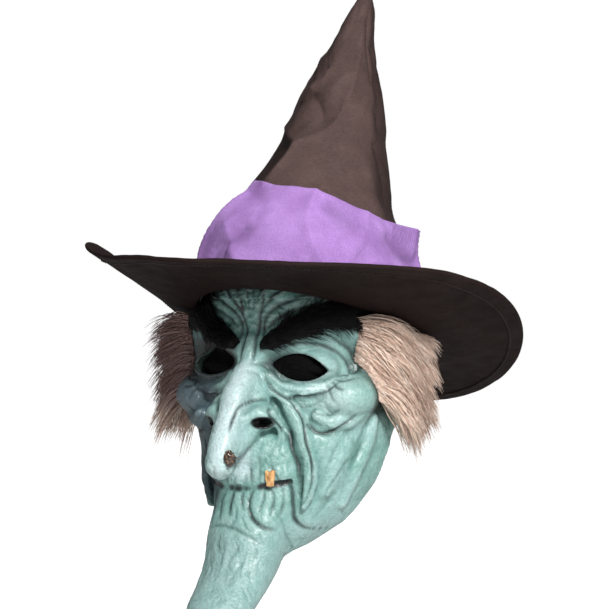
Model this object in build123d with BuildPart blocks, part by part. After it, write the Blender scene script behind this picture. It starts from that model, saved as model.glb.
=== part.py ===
"""Witch mask: a hollow latex face with faux-fur brows and hair, worn under a wired cloth hat.

Millimetres, +Z up, the face looks along -Y and +X is the wearer's left. The origin is the middle of the
head opening, in the plane of the hat's sweatband. The hat plane leans back from that point, and the hat
tips forward about a cloth tape across the forehead, so that a head can get in.
"""

import os
from math import cos, hypot, radians, sin

from build123d import *

# ---- driving dimensions ------------------------------------------------------------------------------
HAT_LEAN = 18.0            # how far the hat's axis leans back from vertical, degrees
RING_A, RING_B = 89.0, 106.0   # crown's outer half-width and half-depth at its base
RING_H = 1.6               # height of the crown's base over the hat plane
CROWN_CLOTH = 1.2          # wall of the crown cloth
LINING = (1.4, 2.2)        # the lining lies between these depths inside the crown's outer face
SWEATBAND = (2.4, 3.2)     # and the sweatband between these
BAND_CLOTH = 1.4           # wall of the purple hat band
BAND_LEAN_DIR = (0.866, 0.5)   # the band's top edge drops towards this side, in hat plane coordinates
BRIM_WIDTH = 88.0          # from the crown to the brim's edge
BRIM_RAISE = 14.0          # mean height of the brim's edge over the hat plane
BRIM_CURL = 21.0           # how much the brim's two sides curl up past that mean
BRIM_SKEW = 8.0            # the wearer's right side curls higher by this
BRIM_BEND = 1.5            # power of the brim's rise across its width
BRIM_STEP = 15             # angle between brim sections, degrees
BRIM_SEAM = 0.12           # half the angle left open at the brim's back seam, degrees
STIFFENER = 1.4            # thickness of the brim's felt interlining
BRIM_CLOTH = 0.6           # thickness of each brim cloth
LAYER_GAP = 0.05           # air between stacked cloths
HEM_WIDTH = 12.0           # folded hem round the brim's edge
HEM_CLOTH = 0.5
HEM_GAP = 0.25             # the hem stands off the cloths by this
WIRE_WIDTH, WIRE_THICK = 1.6, 1.1      # flat brim wire
LATEX = 2.5                # wall of the latex
RIM_Y = 22.0               # the latex's rear edge, level with the origin
RIM_LEAN = 17.0            # that edge runs forward on its way down, degrees
EYE_X, EYE_Z = 41.0, -32.0     # centre of each eye opening
EYE_SIZE = (44.0, 23.0)
EYE_TURN = 6.0             # the outer corners of the eyes are lower by this turn, degrees
GAUZE = (2.8, 3.4)         # eye gauze, in depths below the latex's outer face
GAUZE_SIZE = (54.0, 33.0)
BROW_X, BROW_Z = 45.0, -8.0
BROW_SIZE = (68.0, 15.0)
BROW_TURN = 24.0           # the inner ends of the brows are lower by this turn, degrees
BROW_FUR = (0.3, 7.0)      # brow fur, in heights over the latex
NOSTRIL = (13.0, -122.0, -96.0)    # x, y, z of each nostril's middle
NOSTRIL_SIZE = (6.0, 11.0)
WART_R = 4.8
WART = (10.5, -152.0, -110.0)
TOOTH_X, TOOTH_TOP_Z, TOOTH_TIP_Z = 24.0, -119.0, -134.0
TOOTH_CLEAR, TOOTH_PROUD = 0.3, 4.0
TAPE_H = (-13.0, -1.8)     # cloth tape over the forehead, in heights over the hat plane
TAPE_HALF_WIDTH = 48.0
TAPE_CLOTH = (0.15, 0.65)  # in heights over the latex
PAD = (2.8, 10.0)          # forehead foam, in depths below the latex's outer face
STRAP_WIDTH, STRAP_THICK = 20.0, 1.0
STRAP_HALF_SPAN, STRAP_BACK, STRAP_BEND = 78.5, 98.0, 58.0
STRAP_START, STRAP_Z = -2.0, -60.0
RIVET_Y = 7.0
RIVET_R, RIVET_HEAD_R, RIVET_HEAD_X = 1.9, 5.0, (84.8, 85.9)
RIVET_CLEAR = 0.1
WASHER_R, WASHER_X = 4.5, (76.7, 77.7)
HAIR_CLEAR = 0.6           # hair stands off the latex by this
FAR = 400.0                # length of cutting tools

# crown stations: height over the hat plane, half-width, half-depth, shift towards the back
CROWN = [
    (RING_H, RING_A, RING_B, 0),
    (16, RING_A - 0.4, RING_B - 0.8, 0),
    (32, RING_A - 1.4, RING_B - 2.8, 0),
    (60, 80, 91, 0),
    (85, 70, 75, -1),
    (110, 60, 62, -2),
    (156, 43, 43, 0),
    (200, 30, 30, 1),
    (237, 18.5, 19, 3),
    (288, 6, 6, 4),
    (306, 2.4, 2.4, 5),
]
TIP_DROP = 4               # the crown's tip is closed by this many walls
TIP_R = 1.0                # least radius inside the crown's tip
LINING_TOP, SWEATBAND_TOP = 156, 30    # heights of their upper edges over the hat plane

# band stations: lean of the section, height, outer half-width and half-depth, shift towards its low side
BAND = [
    (0, 1.9, 91.2, 108.2, 0),
    (0, 30, 93.5, 107.5, -3),
    (0, 60, 89, 97, -4),
    (4, 85, 80, 84, -1),
    (7.3, 105, 71, 74, 7),
]

# latex head stations: tilt of the section, centre (y, z), half-width and half-depth
HEAD = [
    (HAT_LEAN, 7.4, 22.8, 80.5, 94.5),
    (HAT_LEAN, -1.9, -5.7, 83.0, 97.0),
    (10, 2.0, -48.0, 84.0, 90.0),
    (4, -5.0, -95.0, 84.0, 92.0),
    (0, -25.0, -135.0, 73.0, 84.0),
    (0, -40.0, -160.0, 58.0, 70.0),
]

# nose and chin stations, all level: z, middle y, half-width, half-depth
NOSE = [
    (-22, -84, 7, 7),
    (-50, -96, 11, 15),
    (-78, -112, 17, 24),
    (-100, -124, 23, 27),
    (-116, -137, 17, 21),
    (-128, -143, 9, 11),
]
CHIN = [
    (-128, -84, 38, 26),
    (-160, -90, 36, 30),
    (-186, -103, 33, 30),
    (-211, -126, 31, 30),
    (-228, -139, 28, 27),
    (-236, -142, 17, 16),
]

# hair stations on the wearer's left: height over the hat plane, centre (x, y), half-width, half-depth
HAIR = [
    (-9, 89, 2, 7, 20),
    (-24, 99, 4, 20, 33),
    (-52, 102, 10, 24, 36),
    (-82, 99, 20, 21, 31),
    (-108, 94, 33, 12, 20),
    (-120, 92, 40, 5, 9),
]

hat_axis = Vector(0, sin(radians(HAT_LEAN)), cos(radians(HAT_LEAN)))
hat_plane = Plane(origin=(0, 0, 0), x_dir=(1, 0, 0), z_dir=hat_axis)


def hat_level(height, x=0.0, y=0.0, lean=0.0):
    """A plane over the hat plane, centred on (x, y) there, and leaning towards the band's low side."""
    low_side = hat_plane.x_dir * BAND_LEAN_DIR[0] + hat_plane.y_dir * BAND_LEAN_DIR[1]
    normal = hat_axis * cos(radians(lean)) + low_side * sin(radians(lean))
    across = hat_plane.y_dir.cross(normal)
    return Plane(origin=hat_plane.from_local_coords((x, y, height)), x_dir=across, z_dir=normal)


def save(piece, name):
    """Labels a finished piece and writes it as its own STEP file."""
    piece.label = name
    export_step(piece, f"parts/{name}.step")


# ---- forms that several pieces share -----------------------------------------------------------------
def crown_form(depth):
    """The crown's form at a depth below its outer face. Its tip comes down by a multiple of the depth."""
    with BuildPart() as crown:
        for height, a, b, back in CROWN:
            tip = TIP_DROP * depth if height == CROWN[-1][0] else 0
            with BuildSketch(hat_level(height - tip, 0, back)):
                Ellipse(max(a - depth, TIP_R), max(b - depth, TIP_R))
        loft()
    return crown.part


def crown_wall(outside, inside, top=None):
    """A wall of the crown between two depths below its outer face, up to a height if one is given."""
    with BuildPart() as wall:
        if top:
            with BuildSketch(hat_plane):
                Rectangle(FAR, FAR)
            extrude(amount=top)
            add(crown_form(outside), mode=Mode.INTERSECT)
        else:
            add(crown_form(outside))
        add(crown_form(inside), mode=Mode.SUBTRACT)
    return wall.part


def head_form(grow):
    """The latex head form, grown outwards, or inwards when grow is negative."""
    with BuildPart() as head:
        for tilt, y, z, a, b in HEAD:
            normal = (0, sin(radians(tilt)), cos(radians(tilt)))
            with BuildSketch(Plane(origin=(0, y, z), x_dir=(1, 0, 0), z_dir=normal)):
                Ellipse(a + grow, b + grow)
        loft()
    return head.part


def lobe_form(stations, grow):
    """A lobe through level ellipses, such as the nose or the chin. Its tip moves with grow."""
    with BuildPart() as lobe:
        for i, (z, y, a, b) in enumerate(stations):
            tip = -grow if i == len(stations) - 1 else 0
            with BuildSketch(Plane.XY.offset(z + tip)):
                with Locations((0, y)):
                    Ellipse(a + grow, b + grow)
        loft()
    return lobe.part


def front_column(x, z, size, turn, depth=FAR):
    """An elliptical column that points forward from the middle of the head, seen in the front view."""
    with BuildPart() as column:
        with BuildSketch(Plane(origin=(x, 0, z), x_dir=(1, 0, 0), z_dir=(0, -1, 0))):
            Ellipse(size[0] / 2, size[1] / 2, rotation=turn)
        extrude(amount=depth)
    return column.part


def on_latex(high, low, column):
    """The part of a column that lies between two heights over the latex's outer face."""
    with BuildPart() as skin:
        add(head_form(high))
        add(head_form(low), mode=Mode.SUBTRACT)
        add(column, mode=Mode.INTERSECT)
    return skin.part


def side_rod(x_from, x_to, y, z, radius, side):
    """A round rod along X on one side of the head: side is 1 for the wearer's left, -1 for the right."""
    with BuildPart() as rod:
        with BuildSketch(Plane(origin=(side * x_from, y, z), x_dir=(0, 1, 0), z_dir=(side, 0, 0))):
            Circle(radius)
        extrude(amount=x_to - x_from)
    return rod.part


# ---- latex face and what is glued to it --------------------------------------------------------------
def behind_rim():
    """Everything behind the latex's rear edge, which leans forward on its way down to the jaw."""
    normal = (0, cos(radians(RIM_LEAN)), -sin(radians(RIM_LEAN)))
    with BuildPart() as cutter:
        with BuildSketch(Plane(origin=(0, RIM_Y, 0), x_dir=(1, 0, 0), z_dir=normal)):
            Rectangle(FAR, 2 * FAR)
        extrude(amount=FAR)
    return cutter.part


def latex_face():
    with BuildPart() as cavity:
        add(head_form(-LATEX))
        add(lobe_form(NOSE, -LATEX))
        add(lobe_form(CHIN, -LATEX))
    with BuildPart() as face:
        add(head_form(0))
        add(lobe_form(NOSE, 0))
        add(lobe_form(CHIN, 0))
        add(cavity.part, mode=Mode.SUBTRACT)
        add(behind_rim(), mode=Mode.SUBTRACT)
        for side in (-1, 1):
            add(front_column(side * EYE_X, EYE_Z, EYE_SIZE, -side * EYE_TURN), mode=Mode.SUBTRACT)
            add(nostril(side), mode=Mode.SUBTRACT)
            shank = side_rod(RIM_Y, FAR, RIVET_Y, STRAP_Z, RIVET_R + RIVET_CLEAR, side)
            add(shank, mode=Mode.SUBTRACT)
    return face.part


def nostril(side):
    """The breathing slot through the underside of a nostril wing."""
    x, y, z = NOSTRIL
    with BuildPart() as slot:
        with BuildSketch(Plane(origin=(side * x, y, z), x_dir=(1, 0, 0), z_dir=(0, 0, -1))):
            Ellipse(NOSTRIL_SIZE[0] / 2, NOSTRIL_SIZE[1] / 2)
        extrude(amount=FAR / 4)
    return slot.part


def eye_gauze(side):
    column = front_column(side * EYE_X, EYE_Z, GAUZE_SIZE, -side * EYE_TURN)
    return on_latex(-GAUZE[0], -GAUZE[1], column)


def eyebrow(side):
    column = front_column(side * BROW_X, BROW_Z, BROW_SIZE, side * BROW_TURN)
    return on_latex(BROW_FUR[1], BROW_FUR[0], column)


def nose_wart():
    with BuildPart() as wart:
        with Locations(WART):
            Sphere(WART_R)
        add(lobe_form(NOSE, RIVET_CLEAR), mode=Mode.SUBTRACT)
    return wart.part


def snaggle_tooth():
    """A worn tooth that hangs from the upper lip, wider at its root."""
    height = TOOTH_TOP_Z - TOOTH_TIP_Z
    with BuildPart() as tooth:
        with BuildSketch(Plane(origin=(TOOTH_X, 0, 0), x_dir=(1, 0, 0), z_dir=(0, -1, 0))):
            with BuildLine():
                Polyline(
                    (-4.6, TOOTH_TOP_Z), (-3.0, TOOTH_TOP_Z - height), (3.0, TOOTH_TOP_Z - height),
                    (4.6, TOOTH_TOP_Z), (1.2, TOOTH_TOP_Z - 2), (-1.6, TOOTH_TOP_Z - 1.6), close=True,
                )
            make_face()
        extrude(amount=FAR)
        add(head_form(TOOTH_PROUD), mode=Mode.INTERSECT)
        add(head_form(TOOTH_CLEAR), mode=Mode.SUBTRACT)
        add(lobe_form(CHIN, TOOTH_CLEAR), mode=Mode.SUBTRACT)
    return tooth.part


def hat_tape():
    """The cloth tape across the forehead that the hat hangs on."""
    with BuildPart() as block:
        with BuildSketch(hat_level(TAPE_H[0])):
            with Locations((0, -RING_B)):
                Rectangle(2 * TAPE_HALF_WIDTH, RING_B)
        extrude(amount=TAPE_H[1] - TAPE_H[0])
    return on_latex(TAPE_CLOTH[1], TAPE_CLOTH[0], block.part)


def forehead_pad():
    """Foam that keeps the latex off the wearer's forehead."""
    column = front_column(0, 14, (90, 30), 0)
    return on_latex(-PAD[0], -PAD[1], column)


def hair(side):
    """One hank of faux fur that hangs from the temple over the side of the latex."""
    with BuildPart() as hank:
        for height, x, y, a, b in HAIR:
            with BuildSketch(hat_level(height, side * x, y)):
                Ellipse(a, b)
        loft()
        add(head_form(HAIR_CLEAR), mode=Mode.SUBTRACT)
        pocket = side_rod(RIVET_HEAD_X[0] - 4, RIVET_HEAD_X[1] + 1, RIVET_Y, STRAP_Z,
                          RIVET_HEAD_R + 1.5, side)
        add(pocket, mode=Mode.SUBTRACT)
    return hank.part


# ---- strap -------------------------------------------------------------------------------------------
def elastic_strap():
    with BuildPart() as strap:
        with BuildSketch(Plane.XY.offset(STRAP_Z - STRAP_WIDTH / 2)):
            with BuildLine():
                FilletPolyline(
                    (-STRAP_HALF_SPAN, STRAP_START), (-STRAP_HALF_SPAN, STRAP_BACK),
                    (STRAP_HALF_SPAN, STRAP_BACK), (STRAP_HALF_SPAN, STRAP_START), radius=STRAP_BEND,
                )
            trace(line_width=STRAP_THICK)
        extrude(amount=STRAP_WIDTH)
        for side in (-1, 1):
            shank = side_rod(RIM_Y, FAR, RIVET_Y, STRAP_Z, RIVET_R + RIVET_CLEAR, side)
            add(shank, mode=Mode.SUBTRACT)
    return strap.part


def strap_rivets():
    with BuildPart() as rivets:
        for side in (-1, 1):
            add(side_rod(WASHER_X[0] - 0.6, RIVET_HEAD_X[0], RIVET_Y, STRAP_Z, RIVET_R, side))
            add(side_rod(*RIVET_HEAD_X, RIVET_Y, STRAP_Z, RIVET_HEAD_R, side))
    return rivets.part


def strap_washers():
    with BuildPart() as washers:
        for side in (-1, 1):
            add(side_rod(*WASHER_X, RIVET_Y, STRAP_Z, WASHER_R, side))
        for side in (-1, 1):
            shank = side_rod(RIM_Y, FAR, RIVET_Y, STRAP_Z, RIVET_R + RIVET_CLEAR, side)
            add(shank, mode=Mode.SUBTRACT)
    return washers.part


# ---- hat brim ----------------------------------------------------------------------------------------
def ring_radius(angle):
    """Radius of the crown's inner face in the hat plane, at an angle from +X towards the back."""
    a, b = RING_A - CROWN_CLOTH, RING_B - CROWN_CLOTH
    return a * b / hypot(b * cos(radians(angle)), a * sin(radians(angle)))


def brim_height(angle, out):
    """Height of the brim's middle surface over the hat plane, a distance out from the crown."""
    edge = BRIM_RAISE + BRIM_CURL * cos(radians(2 * angle)) - BRIM_SKEW * cos(radians(angle))
    return edge * (out / BRIM_WIDTH) ** BRIM_BEND


def brim_sections():
    """The angles of the brim's sections, once round from one side of the back seam to the other."""
    first, last = 90 + BRIM_SEAM, 450 - BRIM_SEAM
    inner = range(90 + BRIM_STEP, 450, BRIM_STEP)
    return [first, *inner, last]


def brim_plane(angle):
    """The upright plane through the hat's axis at an angle: x runs outwards from the crown, y is up."""
    outward = hat_plane.x_dir * cos(radians(angle)) + hat_plane.y_dir * sin(radians(angle))
    return Plane(origin=outward * ring_radius(angle), x_dir=outward, z_dir=outward.cross(hat_axis))


def brim_layer(low, high, start, stop):
    """A cloth or felt of the brim, between two heights over its middle surface."""
    outs = [start + (stop - start) * i / 4 for i in range(5)]
    with BuildPart() as layer:
        for angle in brim_sections():
            with BuildSketch(brim_plane(angle)):
                with BuildLine():
                    under = [(out, brim_height(angle, out) + low) for out in outs]
                    over = [(out, brim_height(angle, out) + high) for out in outs]
                    Spline(*under)
                    Line(under[-1], over[-1])
                    Spline(*reversed(over))
                    Line(over[0], under[0])
                make_face()
        loft()
    return layer.part


def brim_wire():
    out = BRIM_WIDTH - HEM_CLOTH - WIRE_WIDTH / 2 - HEM_GAP
    with BuildPart() as wire:
        for angle in brim_sections():
            with BuildSketch(brim_plane(angle)):
                with Locations((out, brim_height(angle, out))):
                    Rectangle(WIRE_WIDTH, WIRE_THICK)
        loft()
    return wire.part


def brim_hem(half_stack):
    """The cloth folded round the brim's edge, over the wire and both brim cloths."""
    inner = half_stack + HEM_GAP
    outer = inner + HEM_CLOTH
    legs = [BRIM_WIDTH - HEM_WIDTH, BRIM_WIDTH - HEM_WIDTH / 2, BRIM_WIDTH - HEM_CLOTH]
    with BuildPart() as hem:
        for angle in brim_sections():
            with BuildSketch(brim_plane(angle)):
                with BuildLine():
                    Polyline(
                        *[(out, brim_height(angle, out) - inner) for out in legs],
                        *[(out, brim_height(angle, out) + inner) for out in reversed(legs)],
                        *[(out, brim_height(angle, out) + outer) for out in legs[:2]],
                        (BRIM_WIDTH, brim_height(angle, BRIM_WIDTH) + outer),
                        (BRIM_WIDTH, brim_height(angle, BRIM_WIDTH) - outer),
                        *[(out, brim_height(angle, out) - outer) for out in reversed(legs[:2])],
                        close=True,
                    )
                make_face()
        loft()
    return hem.part


# ---- hat band ----------------------------------------------------------------------------------------
def band_form(grow, stations):
    with BuildPart() as form:
        for lean, height, a, b, shift in stations:
            with BuildSketch(hat_level(height, shift * BAND_LEAN_DIR[0], shift * BAND_LEAN_DIR[1], lean)):
                Ellipse(a + grow, b + grow)
        loft()
    return form.part


def hat_band():
    with BuildPart() as band:
        add(band_form(0, BAND))
        add(band_form(-BAND_CLOTH, BAND), mode=Mode.SUBTRACT)
    return band.part


# ---- write every piece -------------------------------------------------------------------------------
os.makedirs("parts", exist_ok=True)

save(latex_face(), "latex_face")
for side_name, side in (("left", 1), ("right", -1)):
    save(eye_gauze(side), f"eye_gauze_{side_name}")
    save(eyebrow(side), f"eyebrow_{side_name}")
    save(hair(side), f"hair_{side_name}")
save(nose_wart(), "nose_wart")
save(snaggle_tooth(), "snaggle_tooth")
save(hat_tape(), "hat_tape")
save(forehead_pad(), "forehead_pad")
save(elastic_strap(), "elastic_strap")
save(strap_rivets(), "strap_rivets")
save(strap_washers(), "strap_washers")

save(crown_wall(0, CROWN_CLOTH), "hat_crown")
save(crown_wall(*LINING, LINING_TOP), "hat_lining")
save(crown_wall(*SWEATBAND, SWEATBAND_TOP), "hat_sweatband")
save(hat_band(), "hat_band")

felt = STIFFENER / 2
cloth_low = felt + LAYER_GAP
cloth_high = cloth_low + BRIM_CLOTH
layers_end = BRIM_WIDTH - WIRE_WIDTH - HEM_CLOTH - 3 * HEM_GAP
save(brim_layer(-felt, felt, 0, layers_end), "brim_stiffener")
save(brim_layer(cloth_low, cloth_high, 0, layers_end), "brim_top_cloth")
save(brim_layer(-cloth_high, -cloth_low, 0, layers_end), "brim_under_cloth")
save(brim_wire(), "brim_wire")
save(brim_hem(cloth_high), "brim_hem")
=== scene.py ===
"""Witch mask: the looks. Lengths in this script are in millimetres until a mesh is made."""

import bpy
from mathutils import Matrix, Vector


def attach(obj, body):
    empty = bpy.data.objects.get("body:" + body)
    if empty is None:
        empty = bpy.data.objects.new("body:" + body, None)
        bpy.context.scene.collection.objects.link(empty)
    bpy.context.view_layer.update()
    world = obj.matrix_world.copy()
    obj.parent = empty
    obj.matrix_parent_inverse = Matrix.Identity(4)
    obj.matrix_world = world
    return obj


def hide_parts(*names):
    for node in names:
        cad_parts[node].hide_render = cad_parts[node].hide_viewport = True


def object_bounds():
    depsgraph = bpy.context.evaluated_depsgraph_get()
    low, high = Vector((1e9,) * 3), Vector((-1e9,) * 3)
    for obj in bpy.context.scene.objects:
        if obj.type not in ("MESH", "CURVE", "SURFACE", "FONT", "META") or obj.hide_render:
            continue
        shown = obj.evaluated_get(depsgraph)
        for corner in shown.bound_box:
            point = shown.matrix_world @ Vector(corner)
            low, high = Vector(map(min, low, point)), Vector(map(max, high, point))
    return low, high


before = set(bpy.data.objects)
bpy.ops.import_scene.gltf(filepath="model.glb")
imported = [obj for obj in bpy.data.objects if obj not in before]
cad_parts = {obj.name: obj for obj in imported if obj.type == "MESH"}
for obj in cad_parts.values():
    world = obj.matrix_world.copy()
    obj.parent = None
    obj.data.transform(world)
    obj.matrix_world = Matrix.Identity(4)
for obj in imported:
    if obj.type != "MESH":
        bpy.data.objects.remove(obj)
CAD_BOX = [list(corner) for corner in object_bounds()]

from math import cos, hypot, pi, radians, sin, sqrt

import bpy
import numpy as np
import openvdb
from mathutils import Vector

MM = 0.001
SEED = 613
STEP = 1.25                 # pitch of the sculpting grid
LATEX = 2.6                 # wall of the latex
LATEX_TOP = 22              # the latex ends this high over the hat plane
REAR_EDGE, REAR_LEAN = 20, radians(17)      # where it ends behind the ears, and how that edge leans
THROAT_DEPTH = 187          # the wall behind the chin starts this far below the hat plane's middle
HAT_LEAN = radians(18)      # the hat's axis leans back by this
UP = np.array([0, sin(HAT_LEAN), cos(HAT_LEAN)])        # the hat's axis
BACK = np.array([0, cos(HAT_LEAN), -sin(HAT_LEAN)])     # towards the wearer's back, in the hat plane
ACROSS = np.array([1.0, 0, 0])
EYE = np.array([41.0, -86.0, -32.0])    # middle of the wearer's left eye opening
EYE_TOE = radians(14)       # the eye openings look outwards by this
EYE_TURN = radians(6)       # and their outer corners are lower by this
EYE_HALF = (23.5, 10.6)
EYE_RAISE = {1: 0.0, -1: 4.5}   # the wearer's right opening sits higher
GAUZE_HALF = (27, 15)       # half-length and half-height of the gauze behind each
MOUTH = ((0, -113, -128), (15, -111.5, -127.6), (28, -105, -125.5), (38, -95, -122.5))
MOUTH_RADII = (2.3, 2.3, 2.2, 1.6)
NOSTRIL = (25, -113, -75.5)


# ---- numbers -----------------------------------------------------------------------------------------
class Noise:
    """Smooth random values from -1 to 1 at points in space."""

    SIZE = 48

    def __init__(self, seed):
        self.cells = np.random.default_rng(seed).uniform(-1, 1, (self.SIZE,) * 3).astype(np.float32)

    def __call__(self, points, scale, stretch=(1, 1, 1)):
        p = points / (scale * np.array(stretch))
        low = np.floor(p).astype(int)
        t = p - low
        t = t * t * (3 - 2 * t)
        total = np.zeros(len(p))
        for corner in np.ndindex(2, 2, 2):
            weight = np.prod(np.where(np.array(corner), t, 1 - t), axis=1)
            i, j, k = ((low + corner) % self.SIZE).T
            total += weight * self.cells[i, j, k]
        return total

    def layers(self, points, scale, count, stretch=(1, 1, 1)):
        """Several scales of noise on top of each other."""
        return sum(self(points + 7.3 * n, scale / 2**n, stretch) / 2**n for n in range(count))


noise = Noise(SEED)


def mix(a, b, t):
    return a + (b - a) * t


def smoothstep(low, high, x):
    t = np.clip((x - low) / (high - low), 0, 1)
    return t * t * (3 - 2 * t)


def along(x, xs, ys):
    """A smooth curve through the points (xs, ys), read at x."""
    xs, ys = np.asarray(xs, float), np.asarray(ys, float)
    slope = np.gradient(ys, xs)
    x = np.clip(x, xs[0], xs[-1])
    i = np.clip(np.searchsorted(xs, x) - 1, 0, len(xs) - 2)
    width = xs[i + 1] - xs[i]
    t = (x - xs[i]) / width
    a, b = ys[i], ys[i + 1]
    return (
        a * (1 + 2 * t) * (1 - t) ** 2 + b * t * t * (3 - 2 * t)
        + width * (slope[i] * t * (1 - t) ** 2 - slope[i + 1] * t * t * (1 - t))
    )


def smooth_line(points, spacing):
    """Points at an even spacing along a smooth line through the points given."""
    points = np.asarray(points, float)
    length = np.concatenate([[0], np.cumsum(np.linalg.norm(np.diff(points, axis=0), axis=1))])
    if len(points) == 2:
        fine = np.linspace(0, length[-1], max(2, int(length[-1] / spacing) + 1))
        return np.stack([np.interp(fine, length, c) for c in points.T], axis=1)
    fine = np.linspace(0, length[-1], max(3, int(length[-1] / spacing) + 1))
    return np.stack([along(fine, length, c) for c in points.T], axis=1)


# ---- meshes ------------------------------------------------------------------------------------------
def make_piece(name, points, faces, body, slot, material, stands_for=(), tint=None):
    """A mesh piece from points in millimetres and an array of faces with the same number of corners."""
    mesh = bpy.data.meshes.new(name)
    corners = faces.shape[1]
    mesh.vertices.add(len(points))
    mesh.vertices.foreach_set("co", (np.asarray(points) * MM).astype(np.float32).ravel())
    mesh.loops.add(faces.size)
    mesh.loops.foreach_set("vertex_index", faces.astype(np.int32).ravel())
    mesh.polygons.add(len(faces))
    mesh.polygons.foreach_set("loop_start", np.arange(0, faces.size, corners, dtype=np.int32))
    mesh.update(calc_edges=True)
    mesh.polygons.foreach_set("use_smooth", np.ones(len(faces), bool))
    if tint is not None:
        colours = mesh.color_attributes.new("tint", "FLOAT_COLOR", "POINT")
        rgba = np.concatenate([tint, np.ones((len(tint), 1))], axis=1)
        colours.data.foreach_set("color", rgba.astype(np.float32).ravel())
    mesh.materials.append(material)
    piece = bpy.data.objects.new(name, mesh)
    bpy.context.collection.objects.link(piece)
    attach(piece, body)
    if stands_for:
        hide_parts(*stands_for)
    return piece


def vertex_normals(points, faces):
    a, b, c = points[faces[:, 0]], points[faces[:, 1]], points[faces[:, 2]]
    across = np.cross(b - a, c - a)
    if faces.shape[1] == 4:
        across += np.cross(c - a, points[faces[:, 3]] - a)
    total = np.zeros_like(points)
    for k in range(faces.shape[1]):
        for axis in range(3):
            total[:, axis] += np.bincount(faces[:, k], across[:, axis], len(points))
    return total / np.maximum(np.linalg.norm(total, axis=1, keepdims=True), 1e-9)


def smoothed(values, faces, rounds):
    """Values at the vertices, averaged with their neighbours a few times."""
    ends = np.concatenate([np.stack([faces[:, k], np.roll(faces, -1, axis=1)[:, k]]) for k in
                           range(faces.shape[1])], axis=1)
    count = np.bincount(ends[0], minlength=len(values)) + np.bincount(ends[1], minlength=len(values))
    values = np.array(values, float)
    for _ in range(rounds):
        total = np.zeros_like(values)
        for axis in range(values.shape[1]):
            total[:, axis] = (np.bincount(ends[0], values[ends[1], axis], len(values))
                              + np.bincount(ends[1], values[ends[0], axis], len(values)))
        values = 0.5 * values + 0.5 * total / np.maximum(count, 1)[:, None]
    return values


def grid_faces(rows, columns, closed=True):
    """Quads of a grid of points, joined round its columns when closed."""
    i, j = np.meshgrid(np.arange(rows - 1), np.arange(columns if closed else columns - 1), indexing="ij")
    i, j = i.ravel(), j.ravel()
    k = (j + 1) % columns
    return np.stack([i * columns + j, i * columns + k, (i + 1) * columns + k, (i + 1) * columns + j], axis=1)


def cloth_shell(outer, inner):
    """Points and faces of a cloth with two faces and turned edges, from two grids of points."""
    rows, columns = outer.shape[:2]
    skin = grid_faces(rows, columns)
    count = rows * columns
    ring = np.arange(columns)
    after = (ring + 1) % columns
    bottom = np.stack([ring + count, after + count, after, ring], axis=1)
    last = (rows - 1) * columns
    top = np.stack([ring + last, after + last, after + last + count, ring + last + count], axis=1)
    faces = [skin, skin[:, ::-1] + count, bottom, top]
    return np.concatenate([outer.reshape(-1, 3), inner.reshape(-1, 3)]), np.concatenate(faces)


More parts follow.
